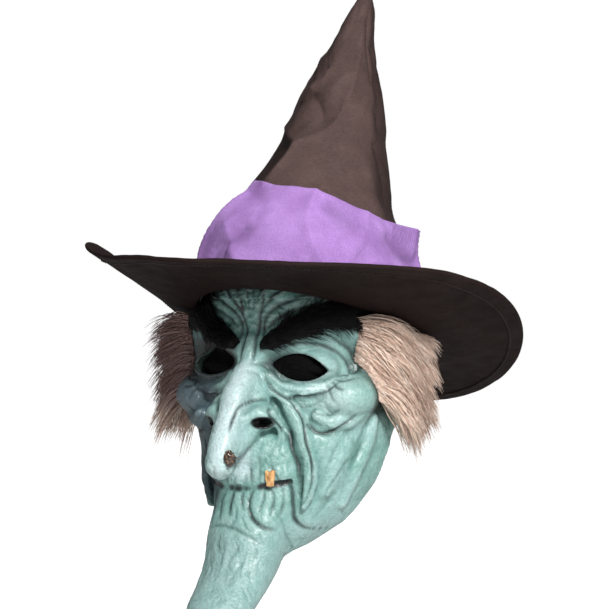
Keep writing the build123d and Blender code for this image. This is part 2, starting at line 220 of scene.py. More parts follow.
# ---- sculpting field ---------------------------------------------------------------------------------
class Field:
    """Distances to a surface on a grid: negative inside, positive outside."""

    def __init__(self, low, high, step):
        self.axes = [np.arange(a, b + step, step, dtype=np.float32) for a, b in zip(low, high)]
        self.low, self.step = np.array(low, float), step
        self.d = np.full([len(a) for a in self.axes], 60, np.float32)

    def block(self, low, high):
        cut = tuple(slice(*np.searchsorted(axis, (a, b))) for axis, a, b in zip(self.axes, low, high))
        return cut, np.meshgrid(*[axis[c] for axis, c in zip(self.axes, cut)], indexing="ij", sparse=True)

    def combine(self, shape, k, cut_away=False, mirrored=True):
        """Joins a shape to the field, or cuts it away, with a fillet of about k."""
        form, low, high = shape
        for side in (1, -1) if mirrored else (1,):
            lo = np.array(low, float) - 2 * k - 3
            hi = np.array(high, float) + 2 * k + 3
            if side < 0:
                lo[0], hi[0] = -hi[0], -lo[0]
            cut, (x, y, z) = self.block(lo, hi)
            mine = self.d[cut]
            other = form(side * x, y, z).astype(np.float32)
            if cut_away:
                other = -other
                h = np.clip(0.5 - 0.5 * (other - mine) / k, 0, 1)
                self.d[cut] = other + (mine - other) * h + k * h * (1 - h)
            else:
                h = np.clip(0.5 + 0.5 * (other - mine) / k, 0, 1)
                self.d[cut] = other + (mine - other) * h - k * h * (1 - h)

    def add(self, shape, k=5.0, mirrored=True):
        self.combine(shape, k, False, mirrored)

    def carve(self, shape, k=4.0, mirrored=True):
        self.combine(shape, k, True, mirrored)

    def read(self, points):
        """The distance at any points, between the grid's own."""
        p = (np.asarray(points, float) - self.low) / self.step
        top = np.array(self.d.shape) - 2
        low = np.clip(np.floor(p).astype(int), 0, top)
        t = np.clip(p - low, 0, 1)
        total = np.zeros(len(p))
        for corner in np.ndindex(2, 2, 2):
            weight = np.prod(np.where(np.array(corner), t, 1 - t), axis=1)
            total += weight * self.d[tuple((low + corner).T)]
        return total

    def crossing(self, axis, u, v, depth, ahead=1):
        """Where the field comes down to a depth, along X or Y, at the places (u, v) on the other two axes.
        It is looked for from the low end of the axis when ahead is 1, and from the high end when it is -1."""
        others = [a for a in (0, 1, 2) if a != axis]
        d = np.moveaxis(self.d, axis, 2)
        total = 0
        cell, part = [], []
        for a, values in zip(others, (u, v)):
            p = np.clip((np.asarray(values, float) - self.low[a]) / self.step, 0, self.d.shape[a] - 2)
            cell.append(p.astype(int))
            part.append(p - p.astype(int))
        for i, j in np.ndindex(2, 2):
            weight = (part[0] if i else 1 - part[0]) * (part[1] if j else 1 - part[1])
            total = total + weight[:, None] * d[cell[0] + i, cell[1] + j]
        places = self.axes[axis]
        if ahead < 0:
            total, places = total[:, ::-1], places[::-1]
        below = total < depth
        k = np.where(below.any(axis=1), below.argmax(axis=1), total.argmin(axis=1))
        k = np.clip(k, 1, None)
        row = np.arange(len(k))
        a, b = total[row, k - 1], total[row, k]
        t = np.clip((a - depth) / np.where(np.abs(a - b) < 1e-6, 1e-6, a - b), 0, 1)
        return places[k - 1] + (places[k] - places[k - 1]) * t

    def front(self, x, z):
        """The first point of the surface behind (x, z), seen from the front."""
        ys = self.axes[1]
        points = np.stack([np.full(len(ys), x), ys, np.full(len(ys), z)], axis=1)
        d = self.read(points)
        inside = np.nonzero(d < 0)[0]
        return points[inside[0] if len(inside) else np.argmin(d)]


def surface(d, low, step):
    """Points and quads of the surface where a grid of distances is zero."""
    grid = openvdb.FloatGrid(60.0)
    grid.copyFromArray(np.ascontiguousarray(d, np.float32))
    points, quads = grid.convertToQuads(0.0)
    points = np.asarray(points, float) * step + low
    quads = np.asarray(quads, int)
    a, b, c = points[quads[:, 0]], points[quads[:, 1]], points[quads[:, 2]]
    if np.einsum("ij,ij->i", a, np.cross(b, c)).sum() < 0:
        quads = quads[:, ::-1]
    return points, quads


def higher(a, b, k):
    """The higher of two fields, with an edge rounded by about k."""
    h = np.clip(0.5 - 0.5 * (b - a) / k, 0, 1)
    return b + (a - b) * h + k * h * (1 - h)


def ball(centre, radii):
    c, r = np.array(centre, float), np.array(radii, float)

    def form(x, y, z):
        k0 = np.sqrt(((x - c[0]) / r[0]) ** 2 + ((y - c[1]) / r[1]) ** 2 + ((z - c[2]) / r[2]) ** 2)
        k1 = np.sqrt(((x - c[0]) / r[0] ** 2) ** 2 + ((y - c[1]) / r[1] ** 2) ** 2
                     + ((z - c[2]) / r[2] ** 2) ** 2)
        return k0 * (k0 - 1) / np.maximum(k1, 1e-6)

    return form, c - r, c + r


def tube(points, radii):
    """A round bar along a line of points, as thick at each as its radius says."""
    p, r = np.array(points, float), np.array(radii, float)

    def form(x, y, z):
        best = None
        for a, b, ra, rb in zip(p, p[1:], r, r[1:]):
            ab = b - a
            t = ((x - a[0]) * ab[0] + (y - a[1]) * ab[1] + (z - a[2]) * ab[2]) / (ab @ ab)
            t = np.clip(t, 0, 1)
            d = np.sqrt((x - a[0] - t * ab[0]) ** 2 + (y - a[1] - t * ab[1]) ** 2
                        + (z - a[2] - t * ab[2]) ** 2) - (ra + (rb - ra) * t)
            best = d if best is None else np.minimum(best, d)
        return best

    return form, (p - r[:, None]).min(0), (p + r[:, None]).max(0)


def stack(levels):
    """A form through level ellipses, each (z, middle y, half-width, half-depth), from the lowest up."""
    zs, ys, widths, depths = np.array(sorted(levels), float).T

    def form(x, y, z):
        middle, a, b = (along(z, zs, values) for values in (ys, widths, depths))
        rho = np.sqrt((x / a) ** 2 + ((y - middle) / b) ** 2)
        slope = np.sqrt((x / a**2) ** 2 + ((y - middle) / b**2) ** 2)
        d = (rho - 1) * rho / np.maximum(slope, 1e-5)
        return np.maximum(d, np.maximum(zs[0] - z, z - zs[-1]))

    low = (-widths.max(), (ys - depths).min(), zs[0])
    high = (widths.max(), (ys + depths).max(), zs[-1])
    return form, low, high


# ---- latex face --------------------------------------------------------------------------------------
HEAD_Z = (-190, -180, -160, -135, -95, -48, -6, 23, 62)
HEAD_MIDDLE = (-92, -78, -46, -28, -7, 2, -1, 6, 18)
HEAD_WIDTH = (12, 32, 56, 71, 83.5, 84, 83, 80.5, 77)
HEAD_DEPTH = (8, 24, 60, 79, 91, 91, 89, 98, 98)


def head_stack():
    return stack(zip(HEAD_Z, HEAD_MIDDLE, HEAD_WIDTH, HEAD_DEPTH))


def on_head(x, z, lift=0.0):
    """A point on the plain head form in front, seen at (x, z), moved outwards by lift."""
    middle, a, b = (along(z, HEAD_Z, values) for values in (HEAD_MIDDLE, HEAD_WIDTH, HEAD_DEPTH))
    y = middle - b * sqrt(max(1 - (x / a) ** 2, 0.001))
    out = np.array([x / a**2, (y - middle) / b**2, 0])
    return np.array([x, y, z]) + lift * out / np.linalg.norm(out)


def roll(points, radii, lift):
    """A roll of flesh that stands out of the head by lift along points seen from the front."""
    return tube([on_head(x, z, lift - r) for (x, z), r in zip(points, radii)], radii)


def sculpt():
    """The latex's outer form, before wrinkles and before anything is cut out of it."""
    field = Field((-102, -176, -252), (102, 34, 58), STEP)
    field.add(head_stack(), 1, mirrored=False)
    # brow ridge, the bone round the eye, and the cheekbone
    field.add(roll([(5, -22), (20, -16), (38, -6), (56, 3), (70, 8)], (8, 9, 10, 11, 11), 8), 7)
    field.add(roll([(66, 6), (74, -8), (77, -24), (76, -40)], (10, 11, 11, 12), 11), 8)
    field.add(ball((67, -51, -56), (25, 26, 19)), 9)
    field.add(ball((43, -61, -98), (26, 24, 42)), 14)
    # hollow of the eye, the lids over it, and the bag below
    field.carve(ball((41, -101, -33), (31, 17, 19)), 7)
    field.add(ball((40, -68, -32), (26, 20, 15)), 3.5)
    field.add(roll([(17, -38), (24, -47), (40, -52), (56, -49), (66, -40)], (3, 4.5, 5.5, 5, 3), 8), 3)
    # nose: a pair of bars makes its flat ridge, a thicker pair its sides, and a ball each nostril's wing
    field.add(tube([(2.2, -86, -12), (2.6, -93.5, -30), (3, -105, -41), (3, -115.5, -53), (3, -122.5, -67),
                    (2.6, -129, -80), (2, -134.5, -92), (1.5, -138, -101), (1.5, -138.5, -108.5)],
                   (7.5, 7.5, 7.8, 8.2, 8.7, 9.1, 9.4, 9.7, 10)), 5)
    field.add(tube([(6, -84, -32), (9, -94, -50), (11, -102, -64), (9, -112, -80), (5, -123, -94)],
                   (9, 11, 12, 11, 8.5)), 8)
    field.add(ball((20.5, -106, -71), (11.5, 13, 11)), 3)
    field.add(tube([(10, -124, -80), (13, -121, -72.5), (20, -115, -67.5), (28, -107, -69), (32, -100, -78),
                    (32, -95, -88)], (2.6, 4, 4.6, 4.4, 3.8, 2.4)), 2.5)
    # muzzle, lips and the long chin
    field.add(ball((0, -82, -106), (43, 28, 32)), 7, mirrored=False)
    field.add(tube([(0, -102, -119), (18, -100, -119), (32, -94, -117.5), (40, -86, -117)],
                   (9, 9, 8, 6)), 5)
    field.add(tube([(0, -99, -137), (16, -97, -137), (30, -91, -135), (38, -83, -132)],
                   (11, 11, 9, 7)), 5)
    chin = [(-128, -80, 38, 27), (-160, -92, 36, 31), (-188, -104, 31.5, 29), (-204, -118, 29.5, 28),
            (-222, -138, 27, 27), (-233, -147, 23.5, 23.5), (-241, -150, 17.5, 17), (-246, -151, 8, 8)]
    field.add(stack(chin), 6, mirrored=False)
    # the long roll beside the mouth, the pad under the cheekbone and the folds of the jaw
    field.add(roll([(20, -51), (28, -57), (35, -67), (42, -83), (45, -94), (49.5, -109), (50, -122),
                    (48, -134), (45, -142)], (4, 6, 7.5, 7.5, 7, 6.5, 6.3, 5, 3), 10), 3)
    field.add(roll([(50, -70), (58, -76), (67, -75), (74, -67)], (5, 7, 7, 5), 13), 3)
    field.add(roll([(74, -74), (70, -92), (64, -112), (58, -132)], (4, 6, 6, 4), 6), 5)
    field.add(roll([(80, -74), (79, -92), (73, -116), (64, -142)], (3, 5, 5, 3), 4), 5)
    field.add(tube([(84, -6, -64), (85, -8, -76), (83.5, -12, -84)], (3, 4.5, 2.5)), 3)
    field.add(ball((36, -76, -148), (17, 16, 20)), 8)
    # nostrils
    field.carve(ball((NOSTRIL[0], NOSTRIL[1] - 3, NOSTRIL[2]), (8.5, 8, 3.8)), 1.6)
    # the mouth's slit
    field.carve(tube(MOUTH, MOUTH_RADII), 1.5)
    return field


def eye_hole(side, x, y, z):
    """Distance to a column of almond section that looks out of the eye on the given side."""
    across = (side * x - EYE[0]) * cos(EYE_TOE) + (y - EYE[1]) * sin(EYE_TOE)
    z = z - EYE[2] - EYE_RAISE[side]
    u = across * cos(EYE_TURN) - z * sin(EYE_TURN)
    v = across * sin(EYE_TURN) + z * cos(EYE_TURN)
    half, rise = EYE_HALF
    radius = (half**2 + rise**2) / (2 * rise)
    offset = radius - rise
    return np.maximum(np.hypot(u, v + offset), np.hypot(u, v - offset)) - radius


def beyond(y, z, place, way):
    """How far (y, z) lies beyond a plane that runs across the face through a place and looks one way."""
    return ((y - place[0]) * way[0] + (z - place[1]) * way[1]) / hypot(*way)


def latex_wall(field, wall):
    """The wall of the latex: the field's skin, open at the crown, behind the ears, below the jaw and at
    the eyes and nostrils."""
    x, y, z = np.meshgrid(*field.axes, indexing="ij", sparse=True)
    d = higher(field.d, -(field.d + wall), 1.0)
    crown = y * UP[1] + z * UP[2] - LATEX_TOP
    rear = (y - REAR_EDGE) * cos(REAR_LEAN) - z * sin(REAR_LEAN)
    jaw = beyond(y, z, (-41, -157), (62, -46))
    throat = np.minimum(beyond(y, z, (-80, -180), (23, -39)), z + THROAT_DEPTH)
    for cut in (crown, rear, jaw, throat):
        d = higher(d, cut, 1.5)
    for side in (1, -1):
        d = higher(d, -np.maximum(eye_hole(side, x, y, z), y + 55), 1.6)
        d = higher(d, -ball(NOSTRIL, (6.5, 12, 2.6))[0](side * x, y, z), 1.0)
    return d


def crease(line, width, depth, dark=1.0):
    """A crease pressed into the latex along a line of points seen from the front.

    Dark is how much painted shade lies in it."""
    return line, width, depth, dark


def both(*creases):
    """The same creases on both sides, a little uneven on the wearer's right."""
    uneven = np.random.default_rng(SEED)
    made = []
    for line, *rest in creases:
        made.append((line, *rest))
        shift = uneven.normal(0, 0.8, (len(line), 2))
        made.append(([(-x + dx, z + dz) for (x, z), (dx, dz) in zip(line, shift)], *rest))
    return made


def brow_furrows():
    """Furrows that fan out over the brows from between them, and two deep ones at the root of the nose."""
    lines = both(
        crease([(6.5, -27), (6.2, -16), (5.4, -4), (7.5, 7)], 1.9, 4.6),
        crease([(11, -8), (10.5, 1), (14, 9)], 1.5, 2.6),
        crease([(6, 2), (9, 12), (12, 24), (13, 36)], 1.7, 2.8),
        crease([(13, -1), (26, 9), (40, 15), (56, 20)], 1.8, 3.0),
        crease([(10, 5), (20, 15), (34, 22), (52, 28)], 1.8, 3.2),
        crease([(8, 11), (17, 22), (28, 30), (44, 36)], 1.7, 2.8),
        crease([(4, 18), (12, 29), (22, 38)], 1.6, 2.4),
        crease([(0.5, 12), (3, 22), (2, 34)], 1.5, 2.0),
    )
    rng = np.random.default_rng(SEED + 1)
    for _ in range(50):
        x, z = rng.uniform(-56, 56), rng.uniform(-4, 38)
        side = np.sign(x)
        rise = rng.uniform(0.35, 0.95) if rng.random() < 0.65 else rng.uniform(-1.6, -0.8)
        reach = rng.uniform(6, 14)
        lines.append(crease([(x, z), (x + side * reach * 0.5, z + reach * rise * 0.5 + rng.normal(0, 1)),
                             (x + side * reach, z + reach * rise)], 1.2, rng.uniform(0.6, 1.5), dark=0.6))
    return lines


def eye_creases():
    return both(
        # over the lid, and from it down past the outer corner
        crease([(24, -20), (36, -14), (50, -13), (62, -20), (69, -31), (72, -40)], 1.7, 2.4),
        crease([(60, -8), (68, -17), (73, -28)], 1.5, 2.0),
        # bags below the eye
        crease([(16, -38), (22, -48), (33, -55), (47, -56), (60, -50), (69, -41)], 1.6, 3.0),
        crease([(21, -43), (30, -49.5), (44, -51), (56, -47)], 1.1, 1.1, dark=0.7),
        crease([(28, -60), (39, -63), (50, -61), (58, -56)], 1.2, 1.2, dark=0.7),
        # crow's feet
        crease([(66, -38), (72, -36), (78, -31)], 1.3, 2.0),
        crease([(66, -41), (72, -42), (79, -40)], 1.3, 2.2),
        crease([(64, -43), (69, -47), (75, -49)], 1.2, 2.0),
        crease([(60, -46), (64, -52), (67, -58)], 1.2, 1.6),
        # across the root of the nose
        crease([(6, -29), (12, -30), (17, -34)], 1.2, 1.5, dark=0.7),
        crease([(6, -34), (12, -37), (16, -42)], 1.1, 1.0, dark=0.7),
    )


def cheek_creases():
    return both(
        # over the nostril's wing
        crease([(8.5, -81), (8.8, -71), (10, -63), (15, -57.5), (21, -57), (26, -60)], 1.5, 2.8),
        # from the wing down past the mouth
        crease([(22, -56), (27, -62), (31, -71), (35.5, -84), (39, -95), (43.5, -108), (45.5, -120),
                (45.5, -134)], 1.8, 4.4),
        # outside of the long roll
        crease([(23, -49), (32, -54), (43, -66), (49.5, -82), (52, -94), (56.5, -110), (57, -124), (53, -136),
                (47, -142)], 1.6, 2.8),
        # under the pad and between it and the cheekbone
        crease([(48, -76), (56, -83), (66, -83), (74, -77), (80, -70)], 1.8, 2.8),
        crease([(52, -65), (58, -68), (66, -68), (72, -65)], 1.3, 1.6, dark=0.7),
        # from the mouth's corner round the chin
        crease([(38, -122), (40.5, -132), (41, -143), (42.5, -153), (47, -160), (54, -162)], 1.9, 4.4),
        crease([(31, -146), (35, -157), (36, -170), (33, -183)], 1.8, 1.2, dark=0.4),
        # long folds of the jaw
        crease([(70, -88), (66, -102), (60, -118)], 2.4, 1.2, dark=0.3),
        crease([(77, -84), (75, -100), (68, -120), (60, -136)], 2.2, 1.6, dark=0.4),
        crease([(66, -124), (60, -139), (53, -152)], 2.2, 1.0, dark=0.3),
        # short nicks on the roll
        *[crease([(42 + n % 2, -100 - 5 * n), (47.5, -99 - 5 * n)], 1.0, 0.8, dark=0.4) for n in range(7)],
    )


def mouth_creases():
    rng = np.random.default_rng(SEED + 2)
    lines, x = [], -33.0
    while x < 36:
        bend, high = rng.normal(0, 2.0), -122 + rng.uniform(4, 24)
        lines.append(crease([(x, -125), (x * 0.96 + bend / 2, (high - 125) / 2), (x * 0.86 + bend, high)],
                            1.3, rng.uniform(0.6, 1.8), dark=0.7))
        x += rng.uniform(5.0, 10.0)
    # down from the lower lip, one of them long and bent
    return lines + [
        crease([(13, -129), (11, -138), (15, -149), (24, -157), (32, -160)], 1.8, 3.2),
        crease([(5, -130), (4.5, -137), (7, -144)], 1.5, 2.2, dark=0.8),
        crease([(-4, -130), (-6, -138), (-4, -148)], 1.7, 2.6, dark=0.9),
        crease([(-13, -130), (-16, -140), (-14, -152)], 1.6, 2.0, dark=0.7),
        crease([(-22, -129), (-26, -141), (-24, -155)], 1.7, 2.4, dark=0.8),
        crease([(-31, -126), (-34, -138), (-32, -149)], 1.5, 2.0, dark=0.7),
        crease([(21, -129), (22, -137), (20, -145)], 1.3, 1.6, dark=0.6),
        crease([(26, -128), (29, -137), (28, -148)], 1.5, 2.0, dark=0.7),
        crease([(34, -128), (35, -138), (33, -150)], 1.4, 1.6, dark=0.6),
        crease([(0, -142), (2, -150), (-1, -158)], 1.3, 1.4, dark=0.5),
        crease([(8, -150), (12, -157), (17, -161)], 1.2, 1.2, dark=0.4),
        # across the chin below them
        crease([(-26, -160), (-12, -157), (2, -159), (16, -165), (26, -172)], 1.8, 1.8, dark=0.4),
    ]


def fine_lines(count, low, high, way, reach, depth, seed):
    """Short fine wrinkles scattered over a patch on both sides, all running roughly one way."""
    rng = np.random.default_rng(SEED + seed)
    lines = []
    for _ in range(count):
        x, z = rng.uniform(low[0], high[0]), rng.uniform(low[1], high[1])
        side = rng.choice((-1, 1))
        angle, length = radians(way + rng.normal(0, 16)), rng.uniform(*reach)
        bend = rng.normal(0, 0.12)
        points = [(x + length * t * cos(angle + bend * t), z + length * t * sin(angle + bend * t))
                  for t in (0, 0.33, 0.66, 1)]
        lines.append(crease([(side * u, v) for u, v in points], 1.15, rng.uniform(*depth), dark=0.4))
    return lines


def fine_wrinkles():
    return (fine_lines(44, (46, -146), (78, -92), -108, (8, 20), (0.3, 0.7), 30)
            + fine_lines(40, (34, -76), (78, -52), -30, (6, 14), (0.4, 0.9), 31)
            + fine_lines(64, (2, -192), (24, -160), -96, (6, 16), (0.3, 0.8), 32)
            + fine_lines(30, (58, -36), (80, 0), -80, (6, 14), (0.4, 0.8), 33)
            + fine_lines(40, (16, -116), (38, -84), -100, (5, 11), (0.3, 0.8), 34)
            + fine_lines(36, (2, -240), (20, -214), -10, (4, 9), (0.3, 0.8), 35))


def press(points, outside, field, creases):
    """How far each point goes into the face, and how dark the painted shade in the creases is.

    Outside is 1 on the latex's outer face and 0 on its inner one, which gives way behind each crease."""
    shift, dark = np.zeros(len(points)), np.zeros(len(points))
    for line, width, depth, shade in creases:
        path = smooth_line([(x, z) for x, z in line], 1.2)
        flat = np.stack([path[:, 0], 0 * path[:, 0], path[:, 1]], axis=1)
        path = path + 0.7 * np.stack([noise(flat, 11), noise(flat + 50, 11)], axis=1)
        y = field.crossing(1, path[:, 0], path[:, 1], 0)
        path = np.stack([path[:, 0], y, path[:, 1]], axis=1)
        near = 6 * width
        box = np.all((points > path.min(0) - near) & (points < path.max(0) + near), axis=1)
        chosen = np.nonzero(box)[0]
        if not len(chosen):
            continue
        apart = np.linalg.norm(points[chosen, None] - path[None], axis=2)
        nearest = apart.argmin(axis=1)
        r = np.maximum(apart[np.arange(len(chosen)), nearest] - LATEX * (1 - outside[chosen]), 0)
        ends = np.sin(pi * np.clip((nearest + 1.0) / (len(path) + 1), 0, 1)) ** 0.5
        ends = ends * (1 + 0.35 * noise(flat + 90, 9))[nearest]
        valley = 0.7 * np.exp(-r / (1.5 * width)) + 0.3 * np.exp(-(r / (0.6 * width)) ** 2)
        shift[chosen] -= ends * depth * valley
        # painted shade along the core of each crease
        strength = min(1.0, depth / 2.6) * shade
        stain_and_shade = 0.8 * np.exp(-(r / (0.8 + 0.5 * width)) ** 2) + 0.2 * np.exp(-r / (1.4 * width))
        dark[chosen] = np.maximum(dark[chosen], np.clip(ends, 0, 1) * strength * stain_and_shade)
    return 5 * np.tanh(shift / 5), dark


def skin_grain(points):
    """Fine relief of the skin: pebbled everywhere, drier and ropier on the forehead and the chin."""
    x, z = points[:, 0], points[:, 2]
    forehead = smoothstep(-12, 4, z)
    chin = smoothstep(-150, -176, z)
    lip = smoothstep(-92, -100, z) * smoothstep(-134, -124, z) * smoothstep(46, 38, np.abs(x))
    lump = noise.layers(points, 9, 3)
    rope = 1 - 2 * np.abs(noise.layers(points, 7, 2, (1.6, 1, 0.6)))
    pebble = noise.layers(points, 3.4, 2)
    streak = 1 - 2 * np.abs(noise.layers(points, 4.5, 2, (0.7, 1, 2.6)))
    return (0.24 * lump + 0.14 * pebble + forehead * (0.45 * rope + 0.3 * lump)
            + lip * 0.3 * pebble + chin * 0.16 * streak * smoothstep(-236, -205, z))


def flesh_paint(points, relief, dark):
    """The airbrushed colours of the latex with its painted shade and highlights, point by point."""
    x, y, z = points.T
    patchy = noise.layers(points, 26, 3)[:, None]

    def lay(under, shade, amount):
        amount = np.clip(amount, 0, 1)
        return mix(under, shade, amount[:, None] if amount.ndim == 1 else amount)

    paint = np.tile(colour(113, 157, 149), (len(points), 1))
    paint = lay(paint, colour(140, 176, 172), 0.45 + 0.8 * patchy)
    paint = lay(paint, colour(104, 152, 142), smoothstep(-30, 0, y) * 0.7)                      # behind
    paint = lay(paint, colour(133, 164, 161), smoothstep(-140, -170, z) * 0.7)                  # chin
    # painted highlight down the nose's ridge
    ridge = (np.exp(-((x - 3) / 9) ** 2) * smoothstep(-92, -104, y) * smoothstep(-128, -114, z)
             * smoothstep(-20, -34, z))
    paint = lay(paint, colour(184, 202, 204), ridge * 0.9)                                      # nose
    cheek = np.exp(-(np.hypot(np.abs(x) - 66, z + 56) / 18) ** 2)
    paint = lay(paint, colour(180, 204, 202), cheek * 0.75)
    # darker forehead: painted shade of the brim
    forehead = smoothstep(-14, 4, z) * smoothstep(-40, -66, y)
    paint = lay(paint, colour(104, 150, 140), forehead * 0.9)                                   # forehead
    # dry brush: painted highlight on the ridges and painted shade in the hollows
    paint = lay(paint, colour(184, 208, 204), np.clip(relief * 0.34, 0, 0.45))                  # dry brush
    paint = lay(paint, colour(52, 92, 86), np.clip(-relief * 0.45, 0, 0.6))
    # slate air brush and painted shade over the wearer's right side, lighter on the bumps as painted
    # highlight
    shaded = smoothstep(-22, -42, x + 0.16 * (z + 60)) * smoothstep(-150, -132, z) * smoothstep(6, -14, z)
    paint = lay(paint, mix(colour(60, 76, 86), colour(106, 124, 132), smoothstep(0.6, 2.4, relief)[:, None]),
                shaded * 0.88)
    # painted shade in the creases
    paint = lay(paint, colour(12, 18, 19), dark * 0.98)
    # black air brush round the eyes and on the brow ridges; painted shade round the wearer's right eye,
    # painted shadow of the brim over the latex's top, and painted shade in the mouth and in the nostrils
    rim = np.minimum.reduce([np.abs(eye_hole(side, x, y, z)) + 300 * (y > -55) for side in (1, -1)])
    inner = smoothstep(44, 14, np.abs(x))
    paint = lay(paint, colour(22, 26, 28), smoothstep(3.2 + 7 * inner, 0.2, rim) * (0.55 + 0.35 * inner))
    brow = np.abs(z - np.interp(np.abs(x), (11, 38, 54, 80), (-14, -0.5, 8.5, 12)))
    paint = lay(paint, colour(12, 14, 14), smoothstep(8, 3, brow) * smoothstep(8, 15, np.abs(x)) * (y < -10))
    # painted shade round the wearer's right eye
    deep = smoothstep(1.3, 0.9, np.hypot((x + 45) / 30, (z + 24) / 18)) * (x < 0)
    paint = lay(paint, colour(18, 21, 23), deep * 0.85)
    # painted shadow of the brim over the latex's top edge
    height = y * UP[1] + z * UP[2]
    paint = lay(paint, colour(10, 13, 13), smoothstep(-8, 4, height + 4 * patchy[:, 0]) * 0.95)
    # painted shade inside the nostrils
    hole = np.hypot(np.hypot(np.abs(x) - NOSTRIL[0], (y - NOSTRIL[1] + 1) * 0.8), (z - NOSTRIL[2]) * 1.7)
    paint = lay(paint, colour(4, 4, 4), smoothstep(10.5, 8, hole))
    # painted shade in the mouth's slit
    paint = lay(paint, colour(5, 6, 6), smoothstep(2.0, 0.6, tube(MOUTH, MOUTH_RADII)[0](np.abs(x), y, z)))
    # painted shade along the hair's front edge
    temple = smoothstep(-56, -46, y) * smoothstep(-76, -66, z)
    paint = lay(paint, colour(30, 44, 38), temple * 0.85)
    return paint


def latex_face():
    field = sculpt()
    wall = latex_wall(field, LATEX)
    points, quads = surface(wall, field.low, field.step)
    points = smoothed(points, quads, 2)
    normals = vertex_normals(points, quads)
    outside = smoothstep(-1.9, -0.9, field.read(points))
    creases = brow_furrows() + eye_creases() + cheek_creases() + mouth_creases() + fine_wrinkles()
    shift, dark = press(points, outside, field, creases)
    calm = np.ones(len(points))
    for side in (1, -1):
        calm *= smoothstep(1.0, 4.0, np.abs(eye_hole(side, *points.T)) + 9 * (points[:, 1] > -50))
        calm *= smoothstep(6, 10, np.linalg.norm(points - (side * 84, 7, -60), axis=1))
    relief = skin_grain(points) * calm * outside
    points = points + normals * (shift * (2 * outside - 1) + relief)[:, None]
    carved = points - smoothed(points, quads, 14)
    bulge = np.einsum("ij,ij->i", carved, normals)
    tint = flesh_paint(points, bulge * 1.5 + relief * 0.6, dark * outside)
    raw = np.tile(colour(96, 116, 108), (len(points), 1)) * (1 + 0.12 * noise.layers(points, 12, 3)[:, None])
    # the inside of the latex behind the nose is painted black: painted shade seen through the nostrils
    nose = smoothstep(40, 26, np.linalg.norm(points - (0, -122, -88), axis=1))[:, None]
    raw = mix(raw, colour(3, 3, 3), nose)
    tint = mix(raw, tint, outside[:, None])
    # the wearer's right side is narrower at the mouth
    x, y, z = points.T
    narrower = (mix(9.0, 13.0, smoothstep(-120, -140, z)) * smoothstep(-70, -104, z)
                * smoothstep(-178, -148, z))
    points = points + np.stack([narrower * smoothstep(-22, -52, x), 0 * y, 0 * z], axis=1)
    make_piece("latex_face_skin", points, quads, "mask", "latex", latex_material(), ["latex_face"], tint)
    return field


# ---- pieces on and behind the latex ------------------------------------------------------------------
def sheet_points(field, x, z, depth, rounds=6):
    """Points at a depth below the latex's outer face, seen at x and z, on a smoothed grid."""
    y = field.crossing(1, x.ravel(), z.ravel(), depth).reshape(x.shape)
    for _ in range(rounds):
        y[1:-1, 1:-1] = (y[:-2, 1:-1] + y[2:, 1:-1] + y[1:-1, :-2] + y[1:-1, 2:]) / 4
    return np.stack([x, y, z], axis=-1)


def thin_sheet(front, thickness):
    """Points and faces of an open sheet with a front, a back and closed edges."""
    rows, columns = front.shape[:2]
    back = front + (0, thickness, 0)
    skin = grid_faces(rows, columns, closed=False)
    count = rows * columns
    index = np.arange(count).reshape(rows, columns)
    edge = np.concatenate([index[0], index[1:, -1], index[-1, -2::-1], index[-2:0:-1, 0]])
    after = np.roll(edge, -1)
    rim = np.stack([edge, after, after + count, edge + count], axis=1)
    faces = np.concatenate([skin[:, ::-1], skin + count, rim])
    return np.concatenate([front.reshape(-1, 3), back.reshape(-1, 3)]), faces


def eye_gauze(field, side, name):
    """An oval of black gauze behind an eye opening."""
    wide, high = GAUZE_HALF
    u, v = np.meshgrid(np.linspace(-wide, wide, 40), np.linspace(-high, high, 24))
    square = np.maximum(np.abs(u) / wide, np.abs(v) / high)
    around = np.hypot(u / wide, v / high)
    u, v = u * square / np.maximum(around, 1e-6), v * square / np.maximum(around, 1e-6)
    x = side * (EYE[0] + u * cos(EYE_TURN) + v * sin(EYE_TURN))
    z = EYE[2] + 0.6 * EYE_RAISE[side] - u * sin(EYE_TURN) + v * cos(EYE_TURN)
    points, faces = thin_sheet(sheet_points(field, x, z, -LATEX - 0.7, 40), 0.4)
    piece = make_piece(name + "_cloth", points, faces, "mask", "eye_gauze", gauze_material(), [name])


def hat_tape(field):
    """The cloth tape that the hat hangs on, glued over the forehead and painted with the face."""
    rows, columns = 14, 120
    x, z = np.meshgrid(np.linspace(-48, 48, columns), np.linspace(23, 33, rows))
    front = sheet_points(field, x, z, 0, 3)
    flat = front.reshape(-1, 3)
    normals = vertex_normals(flat, grid_faces(rows, columns, closed=False)[:, ::-1])
    relief = skin_grain(flat)
    shift, dark = press(flat, np.ones(len(flat)), field, brow_furrows())
    outer = flat + normals * (shift + relief + 0.75)[:, None]
    points, faces = thin_sheet(outer.reshape(rows, columns, 3), 0.4)
    tint = flesh_paint(flat, relief, dark)
    make_piece("forehead_tape", points, faces, "mask", "tape", latex_material(), ["hat_tape"],
               np.concatenate([tint, tint]))


def forehead_pad(field):
    """The foam behind the forehead, between the latex and the head."""
    x, y, z = np.meshgrid(*field.axes, indexing="ij", sparse=True)
    edge = np.hypot(np.maximum(np.abs(x) - 30, 0), np.maximum(np.abs(z - 11) - 3, 0)) - 11
    d = higher(np.abs(field.d + LATEX + 4.2) - 3.6, edge, 3)
    d = higher(d, y + 30, 2)
    points, quads = surface(d, field.low, field.step)
    points = smoothed(points, quads, 3)
    normals = vertex_normals(points, quads)
    points = points + normals * (0.12 * noise.layers(points, 3, 2))[:, None]
    piece = make_piece("forehead_foam", points, quads, "mask", "foam", foam_material(), ["forehead_pad"])


